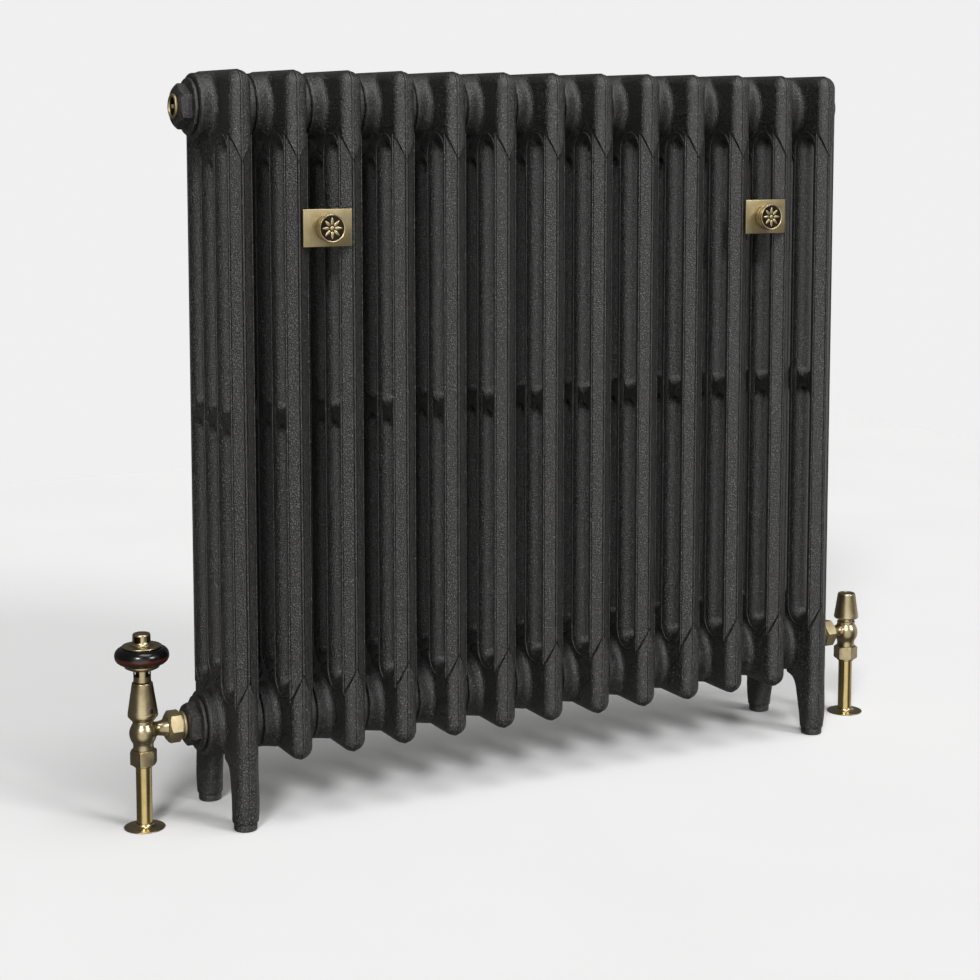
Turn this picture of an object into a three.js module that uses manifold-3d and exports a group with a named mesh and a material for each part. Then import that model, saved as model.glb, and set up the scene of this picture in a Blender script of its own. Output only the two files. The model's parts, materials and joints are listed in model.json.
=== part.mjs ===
/*
 * Four-column cast iron radiator of thirteen sections, with a thermostatic valve, a lockshield
 * valve, an air vent and two wall stays.
 *
 * Millimetres, +Z up. X runs along the radiator from the thermostatic valve to the lockshield
 * valve, and Y from the front to the wall behind. The shapes are drawn with the first section's
 * mid-plane at X = 0 and the middle of the sections' depth at Y = 0. The whole group is then moved
 * so that the origin is at the middle of the object's footprint, on the floor.
 */
import * as THREE from 'three';
import { mergeVertices } from 'three/addons/utils/BufferGeometryUtils.js';
import Module from 'manifold-3d';

const wasm = await Module();
wasm.setup();

// ---- Driving dimensions -------------------------------------------------------------------

// Room left between two pieces that touch.
const GAP = 0.3;

// Sections
const SECTION_COUNT = 13;
const SECTION_PITCH = 58.4;
const SECTION_THICKNESS = 24.4;
const SECTION_DEPTH = 136.4;
const SECTION_TOP = 760;
const TAPPING_LOW = 100;
const TAPPING_HIGH = 724;
const CORNER_RADIUS = 14;
const EDGE_RADIUS = 10;
const BEAD_HALF_WIDTH = 1.6;
const FACET_DEPTH = 9.3;

// Columns and the slots between them
const COLUMN_PITCH = 39.2;
const OUTER_SLOT_HALF_LENGTH = 285;
const MIDDLE_SLOT_HALF_LENGTH = 267.5;
const SLOT_RIM_RADIUS = 19.2;
const SLOT_THROAT_RADIUS = 8;
const SLOT_THROAT_HALF_DEPTH = 6.5;
const BRIDGE_HEIGHT = 20;
const BRIDGE_THICKNESS = 12.8;

// Hubs, waterways and the nipples that join the sections
const HUB_RADIUS = 33;
const HUB_BORE_RADIUS = 21;
const NIPPLE_RADIUS = 20.5;
const NIPPLE_BORE_RADIUS = 16.5;
const NIPPLE_LENGTH = 30;
const HEADER_HALF_HEIGHT = 22.5;
const HEADER_HALF_DEPTH = 64.5;
const HEADER_NOSE = 7.5;
const HEADER_HALF_THICKNESS = 8;
const INNER_WATERWAY_RADIUS = 8.6;
const OUTER_WATERWAY_RADIUS = 6.5;
const OUTER_WATERWAY_Y = 57.5;

// Feet
const FOOT_OFFSET = 52.6;
const FOOT_PAD_RADIUS = 11.9;
const FOOT_PAD_HEIGHT = 6.5;
const FOOT_RADIUS = 13.5;
const FOOT_TOP = 80;
const ARCH_HALF_WIDTH_TOP = 26;

// Plugs and bushes screwed into the four end tappings
const FLANGE_RADIUS = 28.2;
const FLANGE_THICKNESS = 6;
const PLUG_HEX_RADIUS = 22.5;
const PLUG_HEX_LENGTH = 10;
const PLUG_THREAD_LENGTH = 15;

// Air vent
const VENT_FLANGE_RADIUS = 12.5;
const VENT_FLANGE_THICKNESS = 3;
const VENT_THREAD_RADIUS = 10.2;
const VENT_RECESS_RADIUS = 8.8;
const VENT_RECESS_DEPTH = 5.5;
const VENT_SCREW_RADIUS = 3.6;

// Valves: distance of each valve's upright axis from its end section, and the shared sizes
const VALVE_OFFSET = 88.4;
const PIPE_RADIUS = 8;
const PIPE_BORE_RADIUS = 7;
const PIPE_TOP = 76;
const FLOOR_PLATE_RADIUS = 21.5;
const FLOOR_PLATE_HEIGHT = 8.5;
const COMPRESSION_NUT_RADIUS = 14;
const COMPRESSION_NUT_BOTTOM = 65;
const COMPRESSION_NUT_TOP = 81;
const BALL_RADIUS = 13.9;
const BODY_TOP = 111;
const BODY_BORE_RADIUS = 6.4;
const UNION_NUT_RADIUS = 16.6;
const UNION_NUT_START = 21.3;
const UNION_NUT_END = 35.5;
const UNION_NUT_TURN = 23;
const UNION_THREAD_RADIUS = 12.6;
const UNION_FACE = 31;

// Thermostatic head
const BONNET_TOP = 150;
const NECK_RADIUS = 8.8;
const DISH_RADIUS = 17.9;
const DISH_BOTTOM = 163;
const DISH_TOP = 168.6;
const WOOD_RING_RADIUS = 27.4;
const WOOD_RING_BOTTOM = 169.2;
const WOOD_RING_TOP = 185.8;
const HEAD_DISC_RADIUS = 20;
const HEAD_DISC_THICKNESS = 2.2;
const FINIAL_RADIUS = 9;
const FINIAL_TOP = 200;

// Lockshield cap
const CAP_BOTTOM = 115;
const CAP_TOP = 145.5;

// Wall stays
const STAY_JOINTS = [2, 11];
const STAY_HEIGHT = 604.5;
const STAY_PLATE_WIDTH = 52.5;
const STAY_PLATE_HEIGHT = 37.5;
const STAY_PLATE_THICKNESS = 3;
const STAY_ROD_RADIUS = 5;
const KNOB_RADIUS = 14.4;
const KNOB_LENGTH = 12;
const WALL_DISTANCE = 104;
const WALL_PLATE_RADIUS = 25;
const WALL_PLATE_THICKNESS = 6;

// Facets on round pieces
const BORE_SIDES = 8;
const ROUND_SIDES = 8;
const FINE_SIDES = 12;

// ---- Places worked out from the driving dimensions ----------------------------------------

const MID_HEIGHT = (TAPPING_LOW + TAPPING_HIGH) / 2;
const SECTION_BOTTOM = 2 * MID_HEIGHT - SECTION_TOP;
const HALF_THICKNESS = SECTION_THICKNESS / 2;
const HALF_DEPTH = SECTION_DEPTH / 2;
const HUB_HALF_LENGTH = SECTION_PITCH / 2 - GAP / 2;
const LAST_SECTION_X = (SECTION_COUNT - 1) * SECTION_PITCH;
const HUB_FACE = SECTION_PITCH / 2;
const PLUG_FACE = FLANGE_THICKNESS + PLUG_HEX_LENGTH;
const VALVE_REACH = VALVE_OFFSET - HUB_FACE;
const STAY_PLATE_BACK = HALF_DEPTH - 0.8;
const KNOB_BACK = STAY_PLATE_BACK + STAY_PLATE_THICKNESS + GAP;

// ---- Materials ----------------------------------------------------------------------------

const finish = (color, roughness, metalness) =>
  new THREE.MeshStandardMaterial({ color, roughness, metalness });

const paint = () => finish(0x3f4041, 0.5, 0.2);
const malleableIron = () => finish(0x2b2b2c, 0.7, 0.4);
const brass = () => finish(0xa8976b, 0.32, 1);
const pipeBrass = () => finish(0xc4b27c, 0.25, 1);
const wood = () => finish(0x2c1712, 0.25, 0);
const steel = () => finish(0x8d8f91, 0.4, 1);
const wax = () => finish(0xb9b7ae, 0.5, 0);

// ---- Solids -------------------------------------------------------------------------------

/** A closed three.js geometry as a manifold solid. */
function solid(geometry) {
  const bare = geometry.clone();
  bare.deleteAttribute('normal');
  bare.deleteAttribute('uv');
  const merged = mergeVertices(bare, 1e-3);
  const corners = Array.from(merged.index.array);
  const triangles = [];
  for (let i = 0; i < corners.length; i += 3) {
    const [a, b, c] = corners.slice(i, i + 3);
    if (a !== b && b !== c && c !== a) triangles.push(a, b, c);
  }
  return new wasm.Manifold(
    new wasm.Mesh({
      numProp: 3,
      vertProperties: new Float32Array(merged.attributes.position.array),
      triVerts: new Uint32Array(triangles),
    }),
  );
}

/** A manifold solid as a three.js geometry, without needless corners on its flat faces. */
function geometryOf(body) {
  const mesh = body.asOriginal().simplify(0.02).getMesh();
  const geometry = new THREE.BufferGeometry();
  geometry.setAttribute('position', new THREE.BufferAttribute(mesh.vertProperties, 3));
  geometry.setIndex(new THREE.BufferAttribute(mesh.triVerts, 1));
  geometry.computeVertexNormals();
  return geometry;
}

/** All the solids joined into one. */
const join = (bodies) => bodies.reduce((whole, body) => whole.add(body));

/** The first solid with all the others cut away. */
const cut = (body, tools) => tools.reduce((rest, tool) => rest.subtract(tool), body);

/** A box from its low corner to its high corner. */
function block(low, high) {
  const size = high.map((value, i) => value - low[i]);
  const middle = high.map((value, i) => (value + low[i]) / 2);
  return solid(new THREE.BoxGeometry(...size).translate(...middle));
}

/** A solid turned about Z from [radius, height] points that start and end on the axis. */
function turned(profile, sides = ROUND_SIDES) {
  const points = profile.map(([radius, height]) => new THREE.Vector2(radius, height));
  return solid(new THREE.LatheGeometry(points, sides).rotateX(Math.PI / 2));
}

/** A ring turned about Z from [radius, height] points, closed back to the first point. */
const turnedRing = (profile, sides) => turned([...profile, profile[0]], sides);

/** An upright cylinder between two heights. */
const cylinder = (radius, bottom, top, sides) =>
  turned([[0, bottom], [radius, bottom], [radius, top], [0, top]], sides);

/** A hexagonal bar between two heights, measured across its corners. */
const hexagon = (radius, bottom, top) => cylinder(radius, bottom, top, 6);

/** Turns a solid drawn along Z so that its +Z points along +X or, with -1, along -X. */
const layAlongX = (body, direction = 1) => body.rotate([0, 90 * direction, 0]);

/** A closed skin through rings of points that all have the same count, with flat ends. */
function loft(rings) {
  const count = rings[0].length;
  const positions = rings.flat().flatMap((point) => point);
  const index = [];
  for (let ring = 0; ring < rings.length - 1; ring += 1) {
    for (let i = 0; i < count; i += 1) {
      const next = (i + 1) % count;
      const a = ring * count + i;
      const b = ring * count + next;
      index.push(a, b, b + count, a, b + count, a + count);
    }
  }
  const last = (rings.length - 1) * count;
  for (let i = 1; i < count - 1; i += 1) {
    index.push(0, i + 1, i, last, last + i, last + i + 1);
  }
  const geometry = new THREE.BufferGeometry();
  geometry.setAttribute('position', new THREE.Float32BufferAttribute(positions, 3));
  geometry.setIndex(index);
  return solid(geometry);
}

/** A shape with straight sides through [x, y] corners. */
const polygon = (corners) => new THREE.Shape(corners.map(([x, y]) => new THREE.Vector2(x, y)));

/** A shape with every corner of a rectangle rounded. */
function roundedRectangle(left, right, bottom, top, radius) {
  const shape = new THREE.Shape();
  const quarter = Math.PI / 2;
  shape.absarc(right - radius, bottom + radius, radius, -quarter, 0);
  shape.absarc(right - radius, top - radius, radius, 0, quarter);
  shape.absarc(left + radius, top - radius, radius, quarter, 2 * quarter);
  shape.absarc(left + radius, bottom + radius, radius, 2 * quarter, 3 * quarter);
  return shape;
}

/** A shape pulled out by a length, centred on its own plane. */
function prism(shape, length, arcSteps = 1) {
  const options = { depth: length, bevelEnabled: false, curveSegments: arcSteps };
  return new THREE.ExtrudeGeometry(shape, options).translate(0, 0, -length / 2);
}

// ---- Section castings ---------------------------------------------------------------------

/** The solid block of a section: flat sides, V-shaped front and back, rounded top and bottom. */
function sectionBlank() {
  const height = SECTION_TOP - SECTION_BOTTOM;
  const side = prism(
    roundedRectangle(-HALF_DEPTH, HALF_DEPTH, SECTION_BOTTOM, SECTION_TOP, CORNER_RADIUS),
    SECTION_THICKNESS,
    2,
  );
  side.applyMatrix4(new THREE.Matrix4().makeBasis(
    new THREE.Vector3(0, 1, 0), new THREE.Vector3(0, 0, 1), new THREE.Vector3(1, 0, 0)));
  const front = prism(
    roundedRectangle(-HALF_THICKNESS, HALF_THICKNESS, SECTION_BOTTOM, SECTION_TOP, EDGE_RADIUS),
    SECTION_DEPTH + 2,
  ).rotateX(Math.PI / 2);
  const shoulder = HALF_DEPTH - FACET_DEPTH;
  const corners = [
    [BEAD_HALF_WIDTH, -HALF_DEPTH], [HALF_THICKNESS, -shoulder],
    [HALF_THICKNESS, shoulder], [BEAD_HALF_WIDTH, HALF_DEPTH],
    [-BEAD_HALF_WIDTH, HALF_DEPTH], [-HALF_THICKNESS, shoulder],
    [-HALF_THICKNESS, -shoulder], [-BEAD_HALF_WIDTH, -HALF_DEPTH],
  ];
  const plan = prism(polygon(corners), height + 2).translate(0, 0, MID_HEIGHT);
  return solid(side).intersect(solid(front)).intersect(solid(plan));
}

/** One ring of a slot: two half rounds joined by straight sides, in the plane at x. */
function slotRing(x, y, radius, halfLength) {
  const steps = 2;
  const straight = halfLength - SLOT_RIM_RADIUS;
  const points = [];
  for (const end of [1, -1]) {
    for (let i = 0; i <= steps; i += 1) {
      const angle = (Math.PI * i) / steps + (end > 0 ? 0 : Math.PI);
      points.push([
        x,
        y + radius * Math.cos(angle),
        MID_HEIGHT + end * straight + radius * Math.sin(angle),
      ]);
    }
  }
  return points;
}

/** The space between two columns: a throat that flares to a wide rim on both sides. */
function slotTool(y) {
  const halfLength = y === 0 ? MIDDLE_SLOT_HALF_LENGTH : OUTER_SLOT_HALF_LENGTH;
  const outside = HALF_THICKNESS + 0.5;
  return loft([
    slotRing(-outside, y, SLOT_RIM_RADIUS, halfLength),
    slotRing(-SLOT_THROAT_HALF_DEPTH, y, SLOT_THROAT_RADIUS, halfLength),
    slotRing(SLOT_THROAT_HALF_DEPTH, y, SLOT_THROAT_RADIUS, halfLength),
    slotRing(outside, y, SLOT_RIM_RADIUS, halfLength),
  ]);
}

/** The web that ties two columns together half-way up. */
function bridge(y) {
  const reach = SLOT_THROAT_RADIUS + 2;
  return block(
    [-BRIDGE_THICKNESS / 2, y - reach, MID_HEIGHT - BRIDGE_HEIGHT / 2],
    [BRIDGE_THICKNESS / 2, y + reach, MID_HEIGHT + BRIDGE_HEIGHT / 2],
  );
}

/** The water space: two headers and a channel down each column, open at the four hub bores. */
function waterway() {
  const shoulder = HEADER_HALF_DEPTH - HEADER_NOSE;
  const corners = [
    [0, -HEADER_HALF_DEPTH], [HEADER_HALF_THICKNESS, -shoulder],
    [HEADER_HALF_THICKNESS, shoulder], [0, HEADER_HALF_DEPTH],
    [-HEADER_HALF_THICKNESS, shoulder], [-HEADER_HALF_THICKNESS, -shoulder],
  ];
  const header = solid(prism(polygon(corners), 2 * HEADER_HALF_HEIGHT));
  const headers = [TAPPING_LOW, TAPPING_HIGH].map((z) => header.translate([0, 0, z]));
  const channel = (y, radius) =>
    cylinder(radius, TAPPING_LOW, TAPPING_HIGH, 4).translate([0, y, 0]);
  const channels = [-1, 1].flatMap((side) => [
    channel(side * OUTER_WATERWAY_Y, OUTER_WATERWAY_RADIUS),
    channel((side * COLUMN_PITCH) / 2, INNER_WATERWAY_RADIUS),
  ]);
  return join([...headers, ...channels]);
}

/** One foot with its pad, drawn for the front and mirrored by side = 1 for the back. */
function foot(side) {
  const steps = 8;
  const ring = ([z, inner, outer, halfWidth]) =>
    Array.from({ length: steps }, (_, i) => {
      const angle = (2 * Math.PI * i) / steps;
      const middle = (inner + outer) / 2;
      const halfLength = (outer - inner) / 2;
      return [halfWidth * Math.cos(angle), side * middle + halfLength * Math.sin(angle), z];
    });
  const ankle = [FOOT_OFFSET - FOOT_RADIUS, FOOT_OFFSET + FOOT_RADIUS];
  const leg = loft([
    [FOOT_PAD_HEIGHT - 1, ankle[0] + 0.9, ankle[1] - 0.9, FOOT_RADIUS - 0.9],
    [FOOT_PAD_HEIGHT + 4, ...ankle, FOOT_RADIUS],
    [SECTION_BOTTOM / 2, (ankle[0] + ARCH_HALF_WIDTH_TOP) / 2, HALF_DEPTH - 0.4, 12.8],
    [SECTION_BOTTOM - 8, ARCH_HALF_WIDTH_TOP, HALF_DEPTH, HALF_THICKNESS],
    [SECTION_BOTTOM - 1, ARCH_HALF_WIDTH_TOP - 4, HALF_DEPTH, HALF_THICKNESS],
    [FOOT_TOP, ARCH_HALF_WIDTH_TOP - 4, HALF_DEPTH, HALF_THICKNESS],
  ].map(ring));
  const pad = cylinder(FOOT_PAD_RADIUS, 0, FOOT_PAD_HEIGHT)
    .translate([0, side * FOOT_OFFSET, 0]);
  return leg.add(pad);
}

/** A whole section casting; the end ones stand on feet. */
function sectionCasting(withFeet) {
  const slots = [-1, 0, 1].map((step) => step * COLUMN_PITCH);
  const hubs = [TAPPING_LOW, TAPPING_HIGH].map((z) =>
    layAlongX(cylinder(HUB_RADIUS, -HUB_HALF_LENGTH, HUB_HALF_LENGTH, BORE_SIDES))
      .translate([0, 0, z]));
  const bores = [TAPPING_LOW, TAPPING_HIGH].map((z) =>
    layAlongX(cylinder(HUB_BORE_RADIUS, -SECTION_PITCH, SECTION_PITCH, BORE_SIDES))
      .translate([0, 0, z]));
  const columns = cut(sectionBlank(), slots.map(slotTool));
  const feet = withFeet ? [foot(-1), foot(1)] : [];
  return cut(join([columns, ...slots.map(bridge), ...hubs, ...feet]), [waterway(), ...bores]);
}

// ---- Plugs, bushes and nipples: drawn with the hub face at Z = 0 and the outside towards +Z --

/** The tube that pulls two sections together. */
const nipple = () => turnedRing(
  [
    [NIPPLE_RADIUS, -NIPPLE_LENGTH / 2], [NIPPLE_RADIUS, NIPPLE_LENGTH / 2],
    [NIPPLE_BORE_RADIUS, NIPPLE_LENGTH / 2], [NIPPLE_BORE_RADIUS, -NIPPLE_LENGTH / 2],
  ],
  BORE_SIDES,
);

/** A hexagon-headed plug for a tapping, with an optional bore through it. */
function plug(boreRadius = 0) {
  const head = join([
    cylinder(NIPPLE_RADIUS, -PLUG_THREAD_LENGTH, GAP + 1, BORE_SIDES),
    cylinder(FLANGE_RADIUS, GAP, FLANGE_THICKNESS),
    hexagon(PLUG_HEX_RADIUS, FLANGE_THICKNESS - 1, PLUG_FACE),
  ]);
  if (boreRadius === 0) return head;
  return head.subtract(cylinder(boreRadius, -PLUG_THREAD_LENGTH - 1, PLUG_FACE + 1));
}

/** The brass air vent body, with its shank in the plug and a recess for the bleed screw. */
function ventBody() {
  const face = PLUG_FACE + GAP;
  const outer = face + VENT_FLANGE_THICKNESS;
  const shell = turned([
    [0, -PLUG_THREAD_LENGTH], [VENT_THREAD_RADIUS, -PLUG_THREAD_LENGTH],
    [VENT_THREAD_RADIUS, face], [VENT_FLANGE_RADIUS, face], [VENT_FLANGE_RADIUS, outer],
    [0, outer],
  ]);
  const recess = cylinder(VENT_RECESS_RADIUS, outer - VENT_RECESS_DEPTH, outer + 1);
  const bore = cylinder(VENT_SCREW_RADIUS - 0.6, -PLUG_THREAD_LENGTH - 1, outer);
  return cut(shell, [recess, bore]);
}

/** The square-headed bleed screw in the vent. */
function ventScrew() {
  const outer = PLUG_FACE + GAP + VENT_FLANGE_THICKNESS;
  const seat = outer - VENT_RECESS_DEPTH + GAP;
  const side = VENT_SCREW_RADIUS * 0.9;
  const stem = cylinder(VENT_SCREW_RADIUS - 1.1, 2, seat + 1);
  const collar = cylinder(VENT_SCREW_RADIUS, seat, seat + 1.5);
  const square = block([-side / 2, -side / 2, seat + 1], [side / 2, side / 2, outer]);
  return join([stem, collar, square]);
}

// ---- Valves: drawn with the pipe's axis at X = Y = 0 and the radiator towards +X -----------

const pipe = () => turnedRing([
  [PIPE_RADIUS, 0], [PIPE_RADIUS, PIPE_TOP], [PIPE_BORE_RADIUS, PIPE_TOP], [PIPE_BORE_RADIUS, 0],
]);

/** The trumpet-shaped rose that covers the hole in the floor. */
const floorPlate = () => turnedRing(
  [
    [PIPE_RADIUS + 0.5, 0], [FLOOR_PLATE_RADIUS, 0], [FLOOR_PLATE_RADIUS, 1.1],
    [13.5, 3.6], [10.2, FLOOR_PLATE_HEIGHT], [PIPE_RADIUS + 0.5, FLOOR_PLATE_HEIGHT],
  ],
  FINE_SIDES,
);

/** The nut that squeezes the pipe into the valve. */
function compressionNut() {
  const lip = COMPRESSION_NUT_BOTTOM + 3;
  const hex = hexagon(COMPRESSION_NUT_RADIUS, COMPRESSION_NUT_BOTTOM, COMPRESSION_NUT_TOP);
  const collar = cylinder(PIPE_RADIUS + 2, COMPRESSION_NUT_BOTTOM - 2, lip);
  return cut(hex.add(collar), [
    cylinder(PIPE_RADIUS + 0.5, COMPRESSION_NUT_BOTTOM - 3, lip),
    cylinder(10.6, lip, COMPRESSION_NUT_TOP + 1),
  ]);
}

/** The elbow: an upright barrel with a round belly, and a branch towards the radiator. */
function valveBody() {
  const belly = TAPPING_LOW - 3;
  const bellyArc = [-45, 0, 45].map((degrees) => {
    const angle = THREE.MathUtils.degToRad(degrees);
    return [BALL_RADIUS * Math.cos(angle), belly + BALL_RADIUS * Math.sin(angle)];
  });
  const barrel = turned([
    [0, COMPRESSION_NUT_BOTTOM + 4], [9.8, COMPRESSION_NUT_BOTTOM + 4],
    [9.8, COMPRESSION_NUT_TOP + GAP], [10.5, COMPRESSION_NUT_TOP + GAP],
    ...bellyArc, [9.6, BODY_TOP], [0, BODY_TOP],
  ]);
  const threadStart = VALVE_REACH - UNION_NUT_END + 0.2;
  const threadEnd = VALVE_REACH - UNION_FACE - 0.2;
  const branch = layAlongX(turned([
    [0, 0], [8, 0], [7.2, 12], [7.6, 17], [9.4, threadStart],
    [UNION_THREAD_RADIUS, threadStart], [UNION_THREAD_RADIUS, threadEnd], [0, threadEnd],
  ])).translate([0, 0, TAPPING_LOW]);
  return cut(barrel.add(branch), [
    cylinder(PIPE_RADIUS + 0.4, COMPRESSION_NUT_BOTTOM, PIPE_TOP + GAP),
    cylinder(BODY_BORE_RADIUS, PIPE_TOP, BODY_TOP + 1),
    layAlongX(cylinder(4.6, 0, VALVE_REACH)).translate([0, 0, TAPPING_LOW]),
  ]);
}

/** The tube that screws into the bush and is held in the valve by the union nut. */
function unionTail() {
  const shape = turnedRing([
    [10.2, -PLUG_THREAD_LENGTH], [10.2, PLUG_FACE + GAP], [14, PLUG_FACE + GAP],
    [14, PLUG_FACE + 3.4], [13, PLUG_FACE + 3.4], [13, PLUG_FACE + 5], [10, PLUG_FACE + 5],
    [10, UNION_FACE - 3], [12.4, UNION_FACE - 3], [12.4, UNION_FACE],
    [6.8, UNION_FACE], [6.8, -PLUG_THREAD_LENGTH],
  ]);
  return layAlongX(shape, -1).translate([VALVE_REACH, 0, TAPPING_LOW]);
}

/** The hexagon nut of the union. */
function unionNut() {
  const shoulder = UNION_NUT_START + 3.5;
  const hex = hexagon(UNION_NUT_RADIUS, UNION_NUT_START, UNION_NUT_END);
  const nut = cut(hex.rotate([0, 0, UNION_NUT_TURN]), [
    cylinder(10.4, UNION_NUT_START - 1, shoulder),
    cylinder(UNION_THREAD_RADIUS + 0.5, shoulder - 0.5, UNION_NUT_END + 1),
  ]);
  return layAlongX(nut, -1).translate([VALVE_REACH, 0, TAPPING_LOW]);
}

/** The tapered bonnet between the valve body and the thermostatic head. */
const bonnet = () => turnedRing([
  [3.3, BODY_TOP + GAP], [12.6, BODY_TOP + GAP], [15.1, 115], [14.9, 118.5],
  [10.3, BONNET_TOP], [3.3, BONNET_TOP],
]);

/** The neck of the head, with air windows, and the dish under the wooden ring. */
function headNeck() {
  const bottom = BONNET_TOP + GAP;
  const shell = turnedRing([
    [3.6, bottom], [NECK_RADIUS, bottom], [NECK_RADIUS, DISH_BOTTOM - 1],
    [DISH_RADIUS - 4, DISH_BOTTOM + 0.6], [DISH_RADIUS, DISH_BOTTOM + 3.4],
    [DISH_RADIUS, DISH_TOP], [3.6, DISH_TOP],
  ]);
  const window = [BONNET_TOP + 5.5, BONNET_TOP + 11];
  return cut(shell, [
    block([-12, -1.9, window[0]], [12, 1.9, window[1]]),
    block([-1.9, -12, window[0]], [1.9, 12, window[1]]),
  ]);
}

/** The grip: a fat wooden ring. */
const woodRing = () => turnedRing(
  [
    [15.6, WOOD_RING_BOTTOM], [20, WOOD_RING_BOTTOM], [25.2, 172], [WOOD_RING_RADIUS, 177.5],
    [25.2, 183], [20, WOOD_RING_TOP], [15.6, WOOD_RING_TOP],
  ],
  FINE_SIDES,
);

/** The brass cup that holds the wooden ring, closed on top by a round disc. */
function headCup() {
  const discBottom = WOOD_RING_TOP + GAP;
  const discTop = discBottom + HEAD_DISC_THICKNESS;
  return turned(
    [
      [0, discBottom - 0.6], [12.6, discBottom - 0.6], [12.6, WOOD_RING_BOTTOM + 1],
      [15, WOOD_RING_BOTTOM + 1], [15, discBottom], [HEAD_DISC_RADIUS, discBottom],
      [HEAD_DISC_RADIUS, discTop], [0, discTop],
    ],
    FINE_SIDES,
  );
}

/** The slotted crown on top of the head. */
function finial() {
  const bottom = WOOD_RING_TOP + HEAD_DISC_THICKNESS + 2 * GAP;
  const crown = turned([
    [0, bottom], [12, bottom], [FINIAL_RADIUS, bottom + 3], [FINIAL_RADIUS, FINIAL_TOP],
    [6.4, FINIAL_TOP], [6.4, bottom + 3], [0, bottom + 3],
  ]);
  const slot = [bottom + 3.4, FINIAL_TOP + 1];
  return cut(crown, [
    block([-12, -1.6, slot[0]], [12, 1.6, slot[1]]),
    block([-1.6, -12, slot[0]], [1.6, 12, slot[1]]),
  ]);
}

/** The wax capsule that grows with the room's warmth and pushes the pin. */
const waxCapsule = () => turned([
  [0, DISH_TOP + 2], [10, DISH_TOP + 3.6], [10, 180], [0, 181.6],
]);

/** The pin with the valve's disc at its foot. */
const valvePin = () => turned([
  [0, 86], [5.2, 86], [5.2, 89.5], [2.6, 89.5], [2.6, DISH_TOP + 1.7], [0, DISH_TOP + 1.7],
]);

/** The lockshield's spindle, with its disc below and a square top under the cap. */
function lockshieldSpindle() {
  const stem = turned([
    [0, 86], [5.2, 86], [5.2, 89.5], [3.2, 89.5], [3.2, 124], [0, 124],
  ]);
  return stem.add(block([-2.2, -2.2, 123], [2.2, 2.2, 130]));
}

/** The tapered cap that covers the lockshield's spindle. */
const lockshieldCap = () => turned([
  [0, CAP_TOP - 4], [7.2, CAP_TOP - 4], [8.2, CAP_BOTTOM], [14, CAP_BOTTOM],
  [14.6, CAP_BOTTOM + 1.6], [10.2, CAP_TOP - 1], [9.2, CAP_TOP], [0, CAP_TOP],
]);

/** The gland on top of the lockshield's body, around the spindle. */
const glandHole = () => cylinder(3.6, 80, BODY_TOP + 5);

/** The lockshield body: the same elbow, closed at the top by its gland. */
function lockshieldBody() {
  const gland = cylinder(7.4, 104, BODY_TOP + 3).add(cylinder(9, 104, BODY_TOP - 1));
  return valveBody().add(gland).subtract(glandHole());
}

// ---- Wall stays: drawn around Y, with the wall towards +Y ----------------------------------

/** Turns a solid drawn along Z so that its +Z points to the front. */
const faceFront = (body) => body.rotate([90, 0, 0]);

/** The plate across the front of two neighbouring sections. */
function stayPlate() {
  const outline = roundedRectangle(
    -STAY_PLATE_WIDTH / 2, STAY_PLATE_WIDTH / 2,
    -STAY_PLATE_HEIGHT / 2, STAY_PLATE_HEIGHT / 2, 1.2,
  );
  const sheet = prism(outline, STAY_PLATE_THICKNESS)
    .translate(0, 0, STAY_PLATE_BACK + STAY_PLATE_THICKNESS / 2);
  return faceFront(solid(sheet).subtract(cylinder(STAY_ROD_RADIUS + 0.5, 0, HALF_DEPTH * 2)));
}

/** The round knob that tightens the plate. */
function stayKnob() {
  const top = KNOB_BACK + KNOB_LENGTH;
  const shape = turned([
    [0, KNOB_BACK], [KNOB_RADIUS - 1, KNOB_BACK], [KNOB_RADIUS - 1, KNOB_BACK + 4],
    [KNOB_RADIUS, KNOB_BACK + 5], [KNOB_RADIUS, top - 1.5], [KNOB_RADIUS - 1.2, top], [0, top],
  ], FINE_SIDES);
  const socket = cylinder(STAY_ROD_RADIUS + 0.5, KNOB_BACK - 1, KNOB_BACK + 6.5);
  return faceFront(shape.subtract(socket));
}

const stayRod = () =>
  faceFront(cylinder(STAY_ROD_RADIUS, -(WALL_DISTANCE - 2), KNOB_BACK + 6, BORE_SIDES));

/** The round plate screwed to the wall. */
function wallPlate() {
  const disc = turned([
    [0, -WALL_DISTANCE], [WALL_PLATE_RADIUS, -WALL_DISTANCE],
    [WALL_PLATE_RADIUS, -WALL_DISTANCE + 3], [9, -WALL_DISTANCE + WALL_PLATE_THICKNESS],
    [9, -WALL_DISTANCE + 14], [0, -WALL_DISTANCE + 14],
  ], FINE_SIDES);
  const socket = cylinder(STAY_ROD_RADIUS + 0.5, -WALL_DISTANCE + 1.4, 0);
  return faceFront(disc.subtract(socket));
}

// ---- Assembly -----------------------------------------------------------------------------

const radiator = new THREE.Group();

/** Adds one named piece to a group. */
function add(group, name, body, material, position = [0, 0, 0]) {
  const mesh = new THREE.Mesh(geometryOf(body), material());
  mesh.name = name;
  mesh.position.set(...position);
  group.add(mesh);
}

const twoDigits = (number) => String(number).padStart(2, '0');

function addSections() {
  const plain = sectionCasting(false);
  const legged = sectionCasting(true);
  for (let i = 0; i < SECTION_COUNT; i += 1) {
    const isEnd = i === 0 || i === SECTION_COUNT - 1;
    const name = `section_${twoDigits(i + 1)}${isEnd ? '_leg' : ''}`;
    add(radiator, name, isEnd ? legged : plain, paint, [i * SECTION_PITCH, 0, 0]);
  }
}

function addNipples() {
  const piece = layAlongX(nipple());
  for (let i = 1; i < SECTION_COUNT; i += 1) {
    const place = [(i - 0.5) * SECTION_PITCH, 0, TAPPING_HIGH];
    add(radiator, `nipple_top_${twoDigits(i)}`, piece, malleableIron, place);
  }
}

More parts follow.
